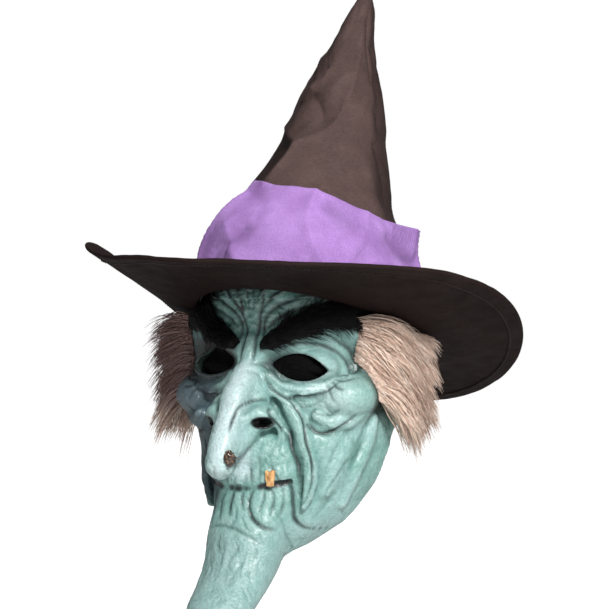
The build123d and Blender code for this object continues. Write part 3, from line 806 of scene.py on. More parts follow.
def lump(name, centre, radii, slot, material, rough, stands_for, shape=None):
    """A small lumpy solid."""
    cells = 28
    side = np.linspace(-1, 1, cells)
    faces, points = [], []
    for axis in range(3):
        for sign in (-1, 1):
            a, b = np.meshgrid(side, side, indexing="ij")
            p = np.stack([np.full_like(a, sign), a, b], axis=-1)
            p = np.roll(p, axis, axis=-1).reshape(-1, 3)
            quads = grid_faces(cells, cells, closed=False)
            faces.append((quads if sign > 0 else quads[:, ::-1]) + len(points) * cells * cells)
            points.append(p)
    points, faces = np.concatenate(points), np.concatenate(faces)
    points, first = np.unique(np.round(points, 6), axis=0, return_inverse=True)
    faces = first.ravel()[faces]
    points = points / np.linalg.norm(points, axis=1, keepdims=True)
    if shape is not None:
        points = shape(points)
    points = np.array(centre) + points * radii
    normals = vertex_normals(points, faces)
    points = points + normals * (rough * noise.layers(points, 3.0, 3))[:, None]
    make_piece(name, points, faces, "mask", slot, material, stands_for)


def nose_wart(field):
    place = np.array([11.0, 0, -102.5])
    place[1] = field.crossing(1, [place[0]], [place[2]], 0)[0] - 1.2
    lump("wart_bead", place, (4.7, 4.4, 6.4), "wart", wart_material(), 1.1, ["nose_wart"])


def snaggle_tooth(field):
    """One worn tooth that hangs from the upper lip in front of the lower one."""
    def taper(p):
        down = (1 - p[:, 2]) / 2
        notch = 0.35 * np.exp(-((p[:, 0] + 0.1) / 0.3) ** 2) * smoothstep(0.2, 1, p[:, 2])
        square = np.abs(p).max(axis=1, keepdims=True)
        p = p * (0.45 + 0.55 / np.maximum(square, 0.5)) * (0.9, 0.9, 0.95)
        width = mix(1.1, 0.62, down)
        return np.stack([p[:, 0] * width, p[:, 1] * mix(1.0, 0.7, down), p[:, 2] - notch], axis=1)

    y = field.crossing(1, [27.6], [-115.0], 0)[0] - 2.2
    lump("worn_tooth", (27.6, y, -119.5), (5.0, 2.6, 7.6), "tooth", tooth_material(), 0.35,
         ["snaggle_tooth"], taper)


# ---- fur ---------------------------------------------------------------------------------------------
def strands(paths, radii):
    """Points and triangles of closed three-sided strands, one along each path, with a radius at each step."""
    count, steps = paths.shape[:2]
    ahead = np.gradient(paths, axis=1)
    ahead /= np.maximum(np.linalg.norm(ahead, axis=2, keepdims=True), 1e-9)
    first = np.cross(ahead, np.array([0.31, 0.17, 0.93]))
    first /= np.maximum(np.linalg.norm(first, axis=2, keepdims=True), 1e-9)
    second = np.cross(ahead, first)
    angles = np.arange(3) * 2 * pi / 3
    radii = np.broadcast_to(radii, (count, steps))[..., None, None]
    ring = first[:, :, None] * np.cos(angles)[None, None, :, None]
    ring = ring + second[:, :, None] * np.sin(angles)[None, None, :, None]
    points = (paths[:, :, None] + radii * ring).reshape(-1, 3)
    i, k = np.meshgrid(np.arange(steps - 1), np.arange(3), indexing="ij")
    a, b = i * 3 + k, i * 3 + (k + 1) % 3
    lower, upper = np.stack([a, b, b + 3], -1), np.stack([a, b + 3, a + 3], -1)
    side = np.concatenate([lower.reshape(-1, 3), upper.reshape(-1, 3)])
    end = (steps - 1) * 3
    one = np.concatenate([side, [[2, 1, 0], [end, end + 1, end + 2]]])
    faces = (one[None] + (np.arange(count) * steps * 3)[:, None, None]).reshape(-1, 3)
    return points, faces


def per_strand(values, steps):
    """One value for each strand, repeated for all its points."""
    return np.repeat(values, steps * 3, axis=0)


def eyebrow(field, side, name):
    """A thick brow of fur, combed along the brow ridge and outwards."""
    rng = np.random.default_rng(SEED + 10 + side)
    count, steps = 2600, 6
    line = np.array([(10.5, -14.5), (17, -11.5), (28, -6), (38, -0.5), (46, 4.5), (54, 8.5), (63, 9.5),
                     (72, 10.5), (80, 12)], float)
    halves = (3.0, 5.5, 7.4, 7.6, 7.0, 5.5, 4.0, 3.0, 2.0)
    s = np.sort(rng.uniform(0, 1, count)) ** 0.9
    at = s * 0.86 * (len(line) - 1)
    x, z = (along(at, np.arange(len(line)), c) for c in line.T)
    half = along(at, np.arange(len(line)), halves)
    clump = np.round(at * 5 + rng.normal(0, 0.6, count)).astype(int) % 64
    lean = rng.normal(0, 0.16, 64)[clump]
    offset = rng.uniform(-1, 1, count)
    slope = np.arctan2(np.gradient(line[:, 1]), np.gradient(line[:, 0]))
    angle = along(at, np.arange(len(line)), slope) + 0.22 * offset * smoothstep(0.0, 0.8, s) + 0.06
    angle = angle + lean + rng.normal(0, 0.10, count)
    x = x - np.sin(angle) * offset * half
    z = z + np.cos(angle) * offset * half
    length = mix(13, 20, smoothstep(0, 0.7, s)) * rng.uniform(0.7, 1.2, count)
    t = np.linspace(0, 1, steps)
    bend = rng.normal(0, 0.25, count)
    turn = angle[:, None] + (bend[:, None] - 0.22) * t
    px = x[:, None] + length[:, None] * t * np.cos(turn)
    pz = z[:, None] + length[:, None] * t * np.sin(turn)
    px = np.clip(px, 3, 82)
    lift = 0.2 + (rng.uniform(1.5, 6.5, count)[:, None] * np.sin(pi * np.clip(t * 0.62 + 0.02, 0, 1)))
    py = field.crossing(1, px.ravel(), pz.ravel(), 0).reshape(px.shape) - lift
    limit = field.crossing(1, np.full(px.size, 79.0), pz.ravel(), 0).reshape(px.shape)
    py = np.minimum(py, limit)
    paths = np.stack([side * px, py, pz], axis=-1)
    radii = np.interp(t, (0, 0.5, 1), (0.42, 0.36, 0.10))
    points, faces = strands(paths, radii)
    # the wearer's right brow is painted half as bright: painted shade
    shade = rng.uniform(0.4, 1.5, (count, 1)) * colour(16, 14, 15) * (1.0 if side > 0 else 0.5)
    make_piece(name + "_fur", points, faces, "mask", "brow_fur", fur_material("brow_fur", 0.5, 0.2),
               [name], per_strand(shade, steps))


# how each hank is combed: out, back, up at its top and at its foot, how it curls in, and how it hangs
HAIR_WAY = {1: (0.66, 0.66, -0.06, -0.50, 0.28, 0.40), -1: (0.95, 0.16, 0.10, -0.42, 0.16, 0.34)}
HAIR_FORWARD = {1: 3.5, -1: 0}      # how much further forward the hank starts
HAIR_HINGE = (86, -3)               # the line that it swings about: out and up
HAIR_SWING = radians(30)


def hair(field, side, name):
    """A hank of long fur that is combed back and out from the temple and hangs in locks."""
    rng = np.random.default_rng(SEED + 20 + side)
    locks, each, steps = 260, 20, 7
    count = locks * each
    out_way, back_way, top_way, foot_way, curl, hang = HAIR_WAY[side]
    lock = np.repeat(np.arange(locks), each)
    a, b = rng.uniform(0, 1, locks) ** 1.5, rng.uniform(0, 1, locks)

    def roots(a, b):
        z = mix(8, -58, b)
        y = mix(along(z, (-58, -22, 8), (-41, -46, -55)) - HAIR_FORWARD[side], 12, a)
        z = np.minimum(z, (-4.5 - y * UP[1]) / UP[2])
        x = field.crossing(0, y, z, 0.2, -1)
        return np.stack([x, y, z], axis=-1)

    def combed(root, a, b, length, sway, t):
        """Paths that start out of the latex, are combed back, and then hang."""
        up = mix(top_way, foot_way, b) + 0.10 * a
        way = np.stack([out_way + 0.1 * a + sway[:, 0], back_way * mix(1.0, 0.7, a) + sway[:, 1],
                        up + sway[:, 2]], axis=-1)
        way /= np.linalg.norm(way, axis=1, keepdims=True)
        t = t[None, :, None]
        drop = np.stack([0 * b - 0.04, 0 * b + 0.04, -hang * (0.7 + 0.6 * b)], axis=-1)[:, None]
        return root[:, None] + length[:, None, None] * (way[:, None] * (t - curl * t**2) + drop * t**2)

    t = np.linspace(0, 1, steps)
    lock_root = roots(a, b)
    lock_length = rng.uniform(42, 60, locks) * mix(1.0, 0.85, a)
    lock_sway = rng.normal(0, 0.12, (locks, 3))
    middle = combed(lock_root, a, b, lock_length, lock_sway, t)
    own_a = np.clip(a[lock] + rng.normal(0, 0.055, count), 0, 1)
    own_b = np.clip(b[lock] + rng.normal(0, 0.045, count), 0, 1)
    own = combed(roots(own_a, own_b), own_a, own_b, lock_length[lock] * rng.uniform(0.7, 1.08, count),
                 lock_sway[lock] + rng.normal(0, 0.11, (count, 3)), t)
    gather = (0.75 * smoothstep(0.25, 1.0, t))[None, :, None] * rng.uniform(0.0, 1, count)[:, None, None]
    paths = mix(own, middle[lock], gather)
    wave = rng.normal(0, 1, (count, 1, 3)) * np.sin(t * 2.5)[None, :, None]
    ripple = rng.normal(0, 0.55, (count, 1, 3))
    wave = wave + ripple * np.sin(7 * t + 6 * rng.uniform(0, 1, (count, 1)))[..., None]
    x, y, z = np.moveaxis(paths + wave, -1, 0)
    skin = field.crossing(0, y.ravel(), z.ravel(), 0, -1).reshape(x.shape)
    beside = (z > -150) & (y < 24)
    x = np.where(beside, np.maximum(x, skin + 0.5 + 2 * t), x)      # outside the latex
    z = np.minimum(z, (-3.2 - y * UP[1]) / UP[2])                   # under the brim
    paths = np.stack([side * x, y, z], axis=-1)
    radii = np.interp(t, (0, 0.6, 1), (0.48, 0.38, 0.09))
    warm, pale, dark = colour(230, 202, 184), colour(246, 230, 216), colour(178, 150, 134)
    tone = np.clip(0.5 + 0.22 * rng.normal(0, 1, locks)[lock] + 0.25 * rng.normal(0, 1, count), 0, 1)[:, None]
    shade = mix(mix(dark, warm, np.clip(tone * 2, 0, 1)), pale, np.clip(tone * 2 - 1, 0, 1))
    root_to_tip = np.repeat(mix(0.80, 1.0, smoothstep(0, 0.3, t)), 3)
    fixed = glued(field, side, paths)
    parts = (("locks", name, [name], ~fixed), ("glued_locks", "mask", (), fixed))
    for part, body, stands_for, chosen in parts:
        points, faces = strands(paths[chosen], radii)
        tint = per_strand(shade[chosen], steps) * np.tile(root_to_tip, chosen.sum())[:, None]
        # the upper part of the wearer's right hank gets painted shade
        make_piece(f"{name}_{part}", points, faces, body, "hair_fur", fur_material("hair_fur", 0.55),
                   stands_for, tint * painted_hank_shade(side, points))
    pelt(field, side, name)


def glued(field, side, paths):
    """Which strands belong to the glued edge and stay: those that could not swing clear of brim and latex."""
    out, up = np.abs(paths[..., 0]) - HAIR_HINGE[0], paths[..., 2] - HAIR_HINGE[1]
    x = HAIR_HINGE[0] + out * cos(HAIR_SWING) - up * sin(HAIR_SWING)
    y = paths[..., 1]
    z = HAIR_HINGE[1] + up * cos(HAIR_SWING) + out * sin(HAIR_SWING)
    over = (y * UP[1] + z * UP[2] + 2.2).max(axis=1)
    depth = field.read(np.stack([side * x, y, z], axis=-1).reshape(-1, 3)).reshape(x.shape).min(axis=1)
    return (over > 0) | (depth < -0.6)


def painted_hank_shade(side, points):
    """Painted shade over the upper part of the wearer's right hank."""
    dark = smoothstep(-86, -56, points[:, 2])[:, None] * (side < 0)
    return mix(np.ones(3), np.array([0.42, 0.36, 0.40]), dark)


def pelt(field, side, name):
    """The cloth backing and undercoat that the locks grow from."""
    cut, (x, y, z) = field.block((60 if side > 0 else -102, -60, -100), (102 if side > 0 else -60, 34, 40))
    d = field.d[cut]
    beyond_y = np.maximum(-22 - y, 0) + np.maximum(y - 4, 0)
    beyond_z = np.maximum(z + 8, 0) + np.maximum(-46 - z, 0)
    edge = np.hypot(beyond_y, beyond_z) - 9
    form = higher(higher(d - 4.5, edge, 4), 0.5 - d, 0.6)
    form = higher(form, y * UP[1] + z * UP[2] + 5, 2)
    rivet = np.maximum(np.hypot(y - 7, z + 60) - 7, np.abs(x) - 88)
    form = higher(form, -rivet, 1)
    low = [axis[c][0] for axis, c in zip(field.axes, cut)]
    points, quads = surface(form, low, field.step)
    points = smoothed(points, quads, 2)
    normals = vertex_normals(points, quads)
    points = points + normals * (0.5 * noise.layers(points, 6, 2, (1, 1.6, 0.8)))[:, None]
    tint = np.tile(colour(206, 178, 160), (len(points), 1)) * (1 + 0.25 * noise.layers(points, 5, 2)[:, None])
    # painted shade over the upper part of the wearer's right undercoat
    tint = tint * painted_hank_shade(side, points)
    make_piece(name + "_undercoat", points, quads, name, "hair_fur", fur_material("undercoat", 0.7),
               [name], tint)


# ---- hat ---------------------------------------------------------------------------------------------
# crown stations: height over the hat plane, half-width, half-depth, shift towards the back
CROWN = ((1.6, 89, 106, 0), (16, 88.6, 105.2, 0), (32, 87.6, 103.2, 0), (60, 80, 91, 0), (85, 70, 75, -1),
         (110, 61, 63, -2), (135, 53, 54, -1), (156, 46, 46, 0), (200, 36.8, 36.8, 1), (237, 25.2, 25.7, 3),
         (262, 17.5, 18, 4), (290, 9.6, 9.6, 4), (312, 0.8, 0.8, 5))
CROWN_H, CROWN_A, CROWN_B, CROWN_SHIFT = zip(*CROWN)
# the cone stands a little askew: heights, and how far it is moved there along SLANT
SLANT = np.array([-0.866, -0.5])
SLANT_H = (60, 84, 108, 124, 140, 156, 190, 230, 262, 290, 312)
SLANT_BY = (0, 0.8, 6.4, 5.2, 3.4, 2, 1.7, 0.9, 1.7, -1.2, -2)
# flat dents in the cone: heights, and the angle of the dent's middle and its half-width at each
FRONT_DENT = ((84, 106, 130, 144, 158, 174), (228, 232, 236, 238, 226, 212), (10, 21, 27, 28, 15, 2))
OTHER_DENTS = (((184, 199, 212, 222, 240), (212, 228, 236, 238, 216), (3, 18, 28, 28, 4)),
               ((95, 120, 150, 175), (40, 52, 60, 58), (6, 20, 22, 4)),
               ((150, 180, 205, 225), (130, 122, 112, 108), (4, 24, 26, 4)),
               ((80, 104, 128, 140), (150, 158, 168, 170), (6, 22, 20, 4)))


def hat_place(x, back, height):
    """Points from hat coordinates: across, towards the back, and up the hat's axis."""
    return x[..., None] * ACROSS + back[..., None] * BACK + height[..., None] * UP


def fold(angle, height, line, width, rise):
    """A soft fold in the crown along a line of (angle, height) places."""
    path = smooth_line(line, 2.5)
    r = along(height, CROWN_H, CROWN_A)[..., None]
    apart = (angle[..., None] - path[:, 0] + 180) % 360 - 180
    near = np.hypot(np.radians(apart) * r, height[..., None] - path[:, 1]).min(axis=-1)
    return rise * np.exp(-((near / width) ** 1.15))


def dent_depth(angle, height, heights, middles, halves):
    """How deep a flat dent cuts into the crown, between the heights given."""
    r = along(height, CROWN_H, CROWN_A)
    middle, half = np.interp(height, heights, middles), np.interp(height, heights, halves, 0, 0)
    apart = np.radians((angle - middle + 180) % 360 - 180)
    inside = np.abs(apart) < np.radians(half)
    return np.where(inside, r * (np.cos(np.radians(half)) / np.cos(np.where(inside, apart, 0)) - 1), 0)


def crown_folds(angle, height):
    """How far the crown's cloth stands out of its plain cone."""
    total = sum(dent_depth(angle, height, *dent) for dent in (FRONT_DENT, *OTHER_DENTS))
    for line, width, rise in (
        ([(256, 100), (262, 122), (264, 142), (278, 150), (292, 160), (305, 186), (314, 222), (318, 256)],
         5, 2.6),
        ([(217, 169), (232, 160), (248, 150), (264, 142)], 4, 1.8),
        ([(226, 188), (244, 190), (262, 190), (274, 180), (282, 168)], 8, -4.0),
        ([(219, 236), (243, 208), (262, 196), (284, 200), (300, 214)], 5, 2.4),
        ([(222, 262), (236, 240), (258, 224)], 6, -2.2),
        ([(330, 286), (333, 262), (338, 240), (346, 216)], 4, -2.2),
        ([(316, 290), (322, 262), (328, 232)], 5, 1.6),
        ([(350, 190), (366, 176), (384, 170)], 5, -1.8),
        ([(350, 156), (361, 140), (368, 122), (372, 104)], 4, -2.8),
        ([(340, 132), (348, 116), (352, 96)], 6, 1.8),
        ([(384, 236), (398, 226), (412, 222)], 4, -1.6),
        ([(372, 130), (386, 118), (398, 100)], 6, 1.8),
        ([(296, 104), (312, 118), (330, 126)], 6, -1.6),
        ([(352, 250), (356, 210), (362, 176)], 9, -3.0),
        ([(60, 230), (74, 200), (96, 176), (120, 150)], 7, -2.4),
        ([(90, 120), (110, 138), (136, 150), (160, 148)], 8, 2.2),
        ([(150, 230), (158, 196), (176, 160), (196, 128)], 7, -2.2),
    ):
        total = total + fold(angle, height, line, width, rise)
    a = np.radians(angle)
    places = np.stack([40 * np.cos(a), 40 * np.sin(a), height * 0.7], axis=-1).reshape(-1, 3)
    total = total + 1.3 * noise.layers(places, 26, 2).reshape(angle.shape)
    total = total + 0.35 * noise.layers(places + 90, 9, 2).reshape(angle.shape)
    return 1.3 * total * smoothstep(36, 66, height) * smoothstep(310, 284, height)


def crown(angle, height, depth):
    """Points of the crown at a depth below its outer face."""
    a, b, shift = (along(height, CROWN_H, values) for values in (CROWN_A, CROWN_B, CROWN_SHIFT))
    grow = crown_folds(angle, height) - depth
    turn, slant = np.radians(angle), along(height, SLANT_H, SLANT_BY)
    return hat_place(np.maximum(a + grow, 0.15) * np.cos(turn) + slant * SLANT[0],
                     np.maximum(b + grow, 0.15) * np.sin(turn) + shift + slant * SLANT[1], height)


def hat_crown():
    angle, height = np.meshgrid(np.linspace(0, 360, 200, endpoint=False),
                                np.concatenate([np.linspace(1.6, 84, 24)[:-1], np.linspace(84, 312, 170)]))
    points, faces = cloth_shell(crown(angle, height, 0), crown(angle, height, 0.9))
    # painted shade: the crown is darker round the sides away from the front and in the flat dent at the front
    front = smoothstep(234, 250, angle) * smoothstep(356, 341, angle)
    dent = dent_depth(angle, height, *FRONT_DENT)
    painted_crown_shade = mix(0.55, 1.06, front) * mix(1.0, 0.62, smoothstep(0.4, 1.6, -dent))
    tint = np.tile(np.concatenate([painted_crown_shade.ravel(), painted_crown_shade.ravel()])[:, None], (1, 3))
    satin = satin_material("crown_satin", 1.72, 0.12, True)
    make_piece("crown_cloth", points, faces, "hat", "crown_cloth", satin, ["hat_crown"], tint)


def hat_lining():
    angle, height = np.meshgrid(np.linspace(0, 360, 120, endpoint=False), np.linspace(3, 156, 70))
    points, faces = cloth_shell(crown(angle, height, 1.3), crown(angle, height, 1.9))
    make_piece("crown_lining", points, faces, "hat", "lining_cloth", lining_material(), ["hat_lining"])


# corners of the band's upper edge: angle, radius, height
BAND_TOP = ((10, 82, 90), (58, 82, 96), (95, 84, 99), (132, 76, 103), (172, 70, 99), (206, 67, 102),
            (243, 64, 106.5), (266, 61.5, 97.5), (293.5, 64.5, 94.5), (326.7, 70.5, 85.5), (347.5, 77, 84.5),
            (370, 82, 90))


def band_edge(angle):
    """Across, back and height of the band's upper edge at each angle: straight from corner to corner."""
    a, r, h = np.array(BAND_TOP, float).T
    x, y = r * np.cos(np.radians(a)), r * np.sin(np.radians(a))
    angle = (angle - a[0]) % 360 + a[0]
    k = np.clip(np.searchsorted(a, angle, side="right") - 1, 0, len(a) - 2)
    ray = np.stack([np.cos(np.radians(angle)), np.sin(np.radians(angle))])
    start, step = np.stack([x[k], y[k]]), np.stack([x[k + 1] - x[k], y[k + 1] - y[k]])
    t = (ray[0] * start[1] - ray[1] * start[0]) / (ray[1] * step[0] - ray[0] * step[1])
    place = start + step * t
    return np.hypot(*place), h[k] + (h[k + 1] - h[k]) * t


def band_folds(angle, t):
    """Soft folds of the band: lines of (angle, share of the height)."""
    total = np.zeros_like(angle)
    for line, width, rise in (
        ([(243, 1.0), (240, 0.7), (233, 0.4), (236, 0.1)], 8, 2.4),
        ([(222, 0.9), (216, 0.6), (214, 0.3)], 10, -2.2),
        ([(262, 0.5), (252, 0.3), (256, 0.05)], 8, -3.0),
        ([(250, 0.55), (262, 0.25), (272, 0.02)], 8, 1.8),
        ([(293.5, 1.0), (292, 0.7), (300, 0.35), (312, 0.05)], 7, 2.8),
        ([(302, 0.86), (312, 0.80), (324, 0.78)], 10, -3.6),
        ([(326.7, 1.0), (324, 0.75), (316, 0.4), (312, 0.1)], 8, 2.4),
        ([(344, 0.78), (356, 0.68), (372, 0.66)], 8, -2.4),
        ([(330, 0.45), (350, 0.5), (372, 0.52)], 6, 1.8),
        ([(332, 0.05), (330, 0.3)], 7, 1.2),
        ([(375, 1.0), (376, 0.6), (374, 0.1)], 8, 2.4),
        ([(36, 0.9), (44, 0.5), (40, 0.15)], 10, -3.0),
        ([(60, 1.0), (62, 0.6), (70, 0.2)], 9, 2.4),
        ([(95, 1.0), (92, 0.6), (84, 0.2)], 9, 2.2),
        ([(110, 0.8), (116, 0.5), (108, 0.2)], 10, -3.0),
        ([(132, 1.0), (136, 0.6), (146, 0.2)], 9, 2.4),
        ([(156, 0.8), (160, 0.5), (152, 0.2)], 10, -2.6),
        ([(176, 1.0), (180, 0.6), (188, 0.2)], 9, 2.2),
    ):
        path = smooth_line([(a, 90 * share) for a, share in line], 2.5)
        apart = np.radians((angle[..., None] - path[:, 0] + 180) % 360 - 180) * 80
        near = np.hypot(apart, 90 * t[..., None] - path[:, 1]).min(axis=-1)
        total += 1.9 * rise * np.exp(-((near / (0.75 * width)) ** 1.05))
    return total


def hat_band():
    angle, t = np.meshgrid(np.linspace(0, 360, 288, endpoint=False), np.linspace(0, 1, 56))
    a = np.radians(angle)
    bottom = 91.4 * 108.4 / np.hypot(108.4 * np.cos(a), 91.4 * np.sin(a))
    top, high = band_edge(angle)
    left = bottom + 4 * np.sin(pi * t) + (top - bottom) * t**3.4
    right = bottom + (top - bottom) * (1 - (1 - t) ** 1.6)
    r = mix(left, right, 0.5 + 0.5 * np.cos(np.radians(angle - 30)))
    places = np.stack([80 * np.cos(a), 80 * np.sin(a), 90 * t], axis=-1).reshape(-1, 3)
    ease = smoothstep(0, 0.16, t)
    creased = (band_folds(angle, t) + (1.4 * noise.layers(places, 34, 3)).reshape(angle.shape)) * ease
    height = mix(2.4, high, t) + 0.6 * noise.layers(places * (1, 1, 0.05), 20, 2).reshape(angle.shape) * t
    size_a, size_b, shift = (along(height, CROWN_H, values) for values in (CROWN_A, CROWN_B, CROWN_SHIFT))
    out = crown_folds(angle, height)
    cone = (size_a + out) * (size_b + out) / np.hypot((size_b + out) * np.cos(a), (size_a + out) * np.sin(a))
    slant = along(height, SLANT_H, SLANT_BY)
    cone = cone + shift * np.sin(a) + slant * (SLANT[0] * np.cos(a) + SLANT[1] * np.sin(a))
    r = np.maximum(np.maximum(r, cone + 2.2 + 2.6 * ease) + creased, cone + 2.2)
    inner = np.maximum(r - 1.1, cone + 0.8)
    shells = [hat_place(q * np.cos(a), q * np.sin(a), height) for q in (r, inner)]
    points, faces = cloth_shell(*shells)
    # painted shade in the band's sunken folds and painted highlight on its raised ones
    shade = np.clip(0.96 + 0.055 * creased, 0.74, 1.02).ravel()
    tint = np.tile(np.concatenate([shade, shade])[:, None], (1, 3))
    piece = make_piece("band_cloth", points, faces, "hat", "band_cloth", band_material(), ["hat_band"], tint)


RING_A, RING_B = 87.8, 104.8       # the crown's inner face in the hat plane
BRIM_WIDTH, BRIM_RAISE, BRIM_CURL, BRIM_SKEW, BRIM_BEND = 88.0, 14.0, 21.0, 8.0, 1.5


def brim(angle, out, lift):
    """Points of the brim, a distance out from the crown and lifted off its middle surface."""
    a = np.radians(angle)
    ring = RING_A * RING_B / np.hypot(RING_B * np.cos(a), RING_A * np.sin(a))
    edge = BRIM_RAISE + BRIM_CURL * np.cos(2 * a) - BRIM_SKEW * np.cos(a)
    height = edge * (out / BRIM_WIDTH) ** BRIM_BEND
    # the corner at the wearer's right rolls over
    turn = np.exp(-(((angle - 206) / 13) ** 2))
    far = np.clip(out / BRIM_WIDTH, 0, 1)
    height = height + 12 * turn * far**5 - 8 * np.exp(-(((angle - 160) / 14) ** 2)) * far**2
    ring = ring + 15 * np.exp(-(((angle - 211) / 13) ** 2)) * far**4
    flat = np.stack([160 * np.cos(a), 160 * np.sin(a), 0 * a], axis=-1).reshape(-1, 3)
    sway = noise.layers(flat + 40, 70, 2).reshape(angle.shape)
    ripple = noise.layers(flat + 300, 16, 2).reshape(angle.shape)
    height = height + 1.5 * sway * far**2 + 0.55 * ripple * smoothstep(0.45, 0.86, far)
    fine = noise.layers(flat + 500, 6, 1).reshape(angle.shape)
    height = height + 0.28 * fine * np.exp(-(((out - 74) / 4) ** 2))
    return hat_place((ring + out) * np.cos(a), (ring + out) * np.sin(a), height + lift)


def brim_layer(name, low, high, stop, slot, material, node, columns=360, rows=44):
    angle, out = np.meshgrid(np.linspace(0, 360, columns, endpoint=False), np.linspace(0.2, stop, rows))
    points, faces = cloth_shell(brim(angle, out, 0 * out + low), brim(angle, out, 0 * out + high))
    return make_piece(name, points, faces, "hat", slot, material, [node])


def ring_of(section, columns):
    """Points and faces of a bar round the brim, whose closed section is (out, lift) points."""
    out, lift = np.array(section, float).T
    angle = np.linspace(0, 360, columns, endpoint=False)
    angle, out = np.meshgrid(angle, out)
    lift = np.broadcast_to(lift[:, None], out.shape)
    points = brim(angle, np.minimum(out, BRIM_WIDTH), lift)
    rows = len(section)
    faces = np.concatenate([grid_faces(rows, columns),
                            np.stack([(rows - 1) * columns + np.arange(columns),
                                      (rows - 1) * columns + (np.arange(columns) + 1) % columns,
                                      (np.arange(columns) + 1) % columns, np.arange(columns)], axis=1)])
    return points.reshape(-1, 3), faces


def brim_hem():
    outer, inner = 1.95, 1.5
    legs = (76.4, 76.0, 76.6, 79, 82, 85, 86.6)
    section = [(legs[0], inner), (legs[1], 0.5 * (inner + outer))] + [(x, outer) for x in legs[2:]]
    section += [(86.6 + outer * 0.7 * cos(a), outer * sin(a)) for a in np.radians((60, 30, 0, -30, -60))]
    section += [(x, -outer) for x in legs[:1:-1]]
    section += [(legs[1], -0.5 * (inner + outer)), (legs[0], -inner)]
    section += [(x, -inner) for x in (79, 82, 85.5, 86.4)] + [(x, inner) for x in (86.4, 85.5, 82, 79)]
    points, faces = ring_of(section, 480)
    satin = satin_material("hem_satin", 0.46, 0.04)
    make_piece("hem_cloth", points, faces, "hat", "brim_cloth", satin, ["brim_hem"])


def brim_stitches():
    """One row of stitches on each face of the hem."""
    count, steps = 330, 5
    starts = np.linspace(0, 360, count, endpoint=False)
    t = np.linspace(0, 1, steps)
    angle = np.concatenate([starts, starts])[:, None] + 0.72 * t
    side = np.repeat([1, -1], count)[:, None]
    lift = side * (1.9 + 0.55 * np.sin(pi * t)[None])
    paths = brim(angle, np.full_like(angle, 77.8), lift)
    points, faces = strands(paths, np.array([0.16, 0.3, 0.34, 0.3, 0.16]))
    make_piece("hem_stitches", points, faces, "hat", "brim_cloth", thread_material(), ["brim_hem"])


def brim_wire():
    section = [(84.9 + 0.75 * cos(a), 0.6 * sin(a)) for a in np.linspace(0, 2 * pi, 10, endpoint=False)]
    points, faces = ring_of(section, 360)
    make_piece("edge_wire", points, faces, "hat", "wire", wire_material(), ["brim_wire"])


def hat():
    hat_crown()
    hat_lining()
    hat_band()
    brim_layer("stiffening_felt", 0.6, -0.6, 83.4, "felt", felt_material(), "brim_stiffener", 240, 30)
    upper = satin_material("brim_satin", 0.9, 0.12)
    brim_layer("upper_brim_cloth", 1.35, 0.8, 84.4, "brim_cloth", upper, "brim_top_cloth")
    # the brim's underside is the same satin at about half the brightness: painted shade
    under = satin_material("brim_satin_under_shaded", 0.44, 0.03)
    brim_layer("under_brim_cloth", -0.8, -1.35, 84.4, "brim_cloth", under, "brim_under_cloth")
    brim_hem()
    brim_stitches()
    brim_wire()


# ---- materials ---------------------------------------------------------------------------------------
def colour(red, green, blue):
    """A linear colour from the usual 0 to 255 values."""
    return np.array([c / 3294.6 if c <= 10 else ((c / 255 + 0.055) / 1.055) ** 2.4
                     for c in (red, green, blue)])


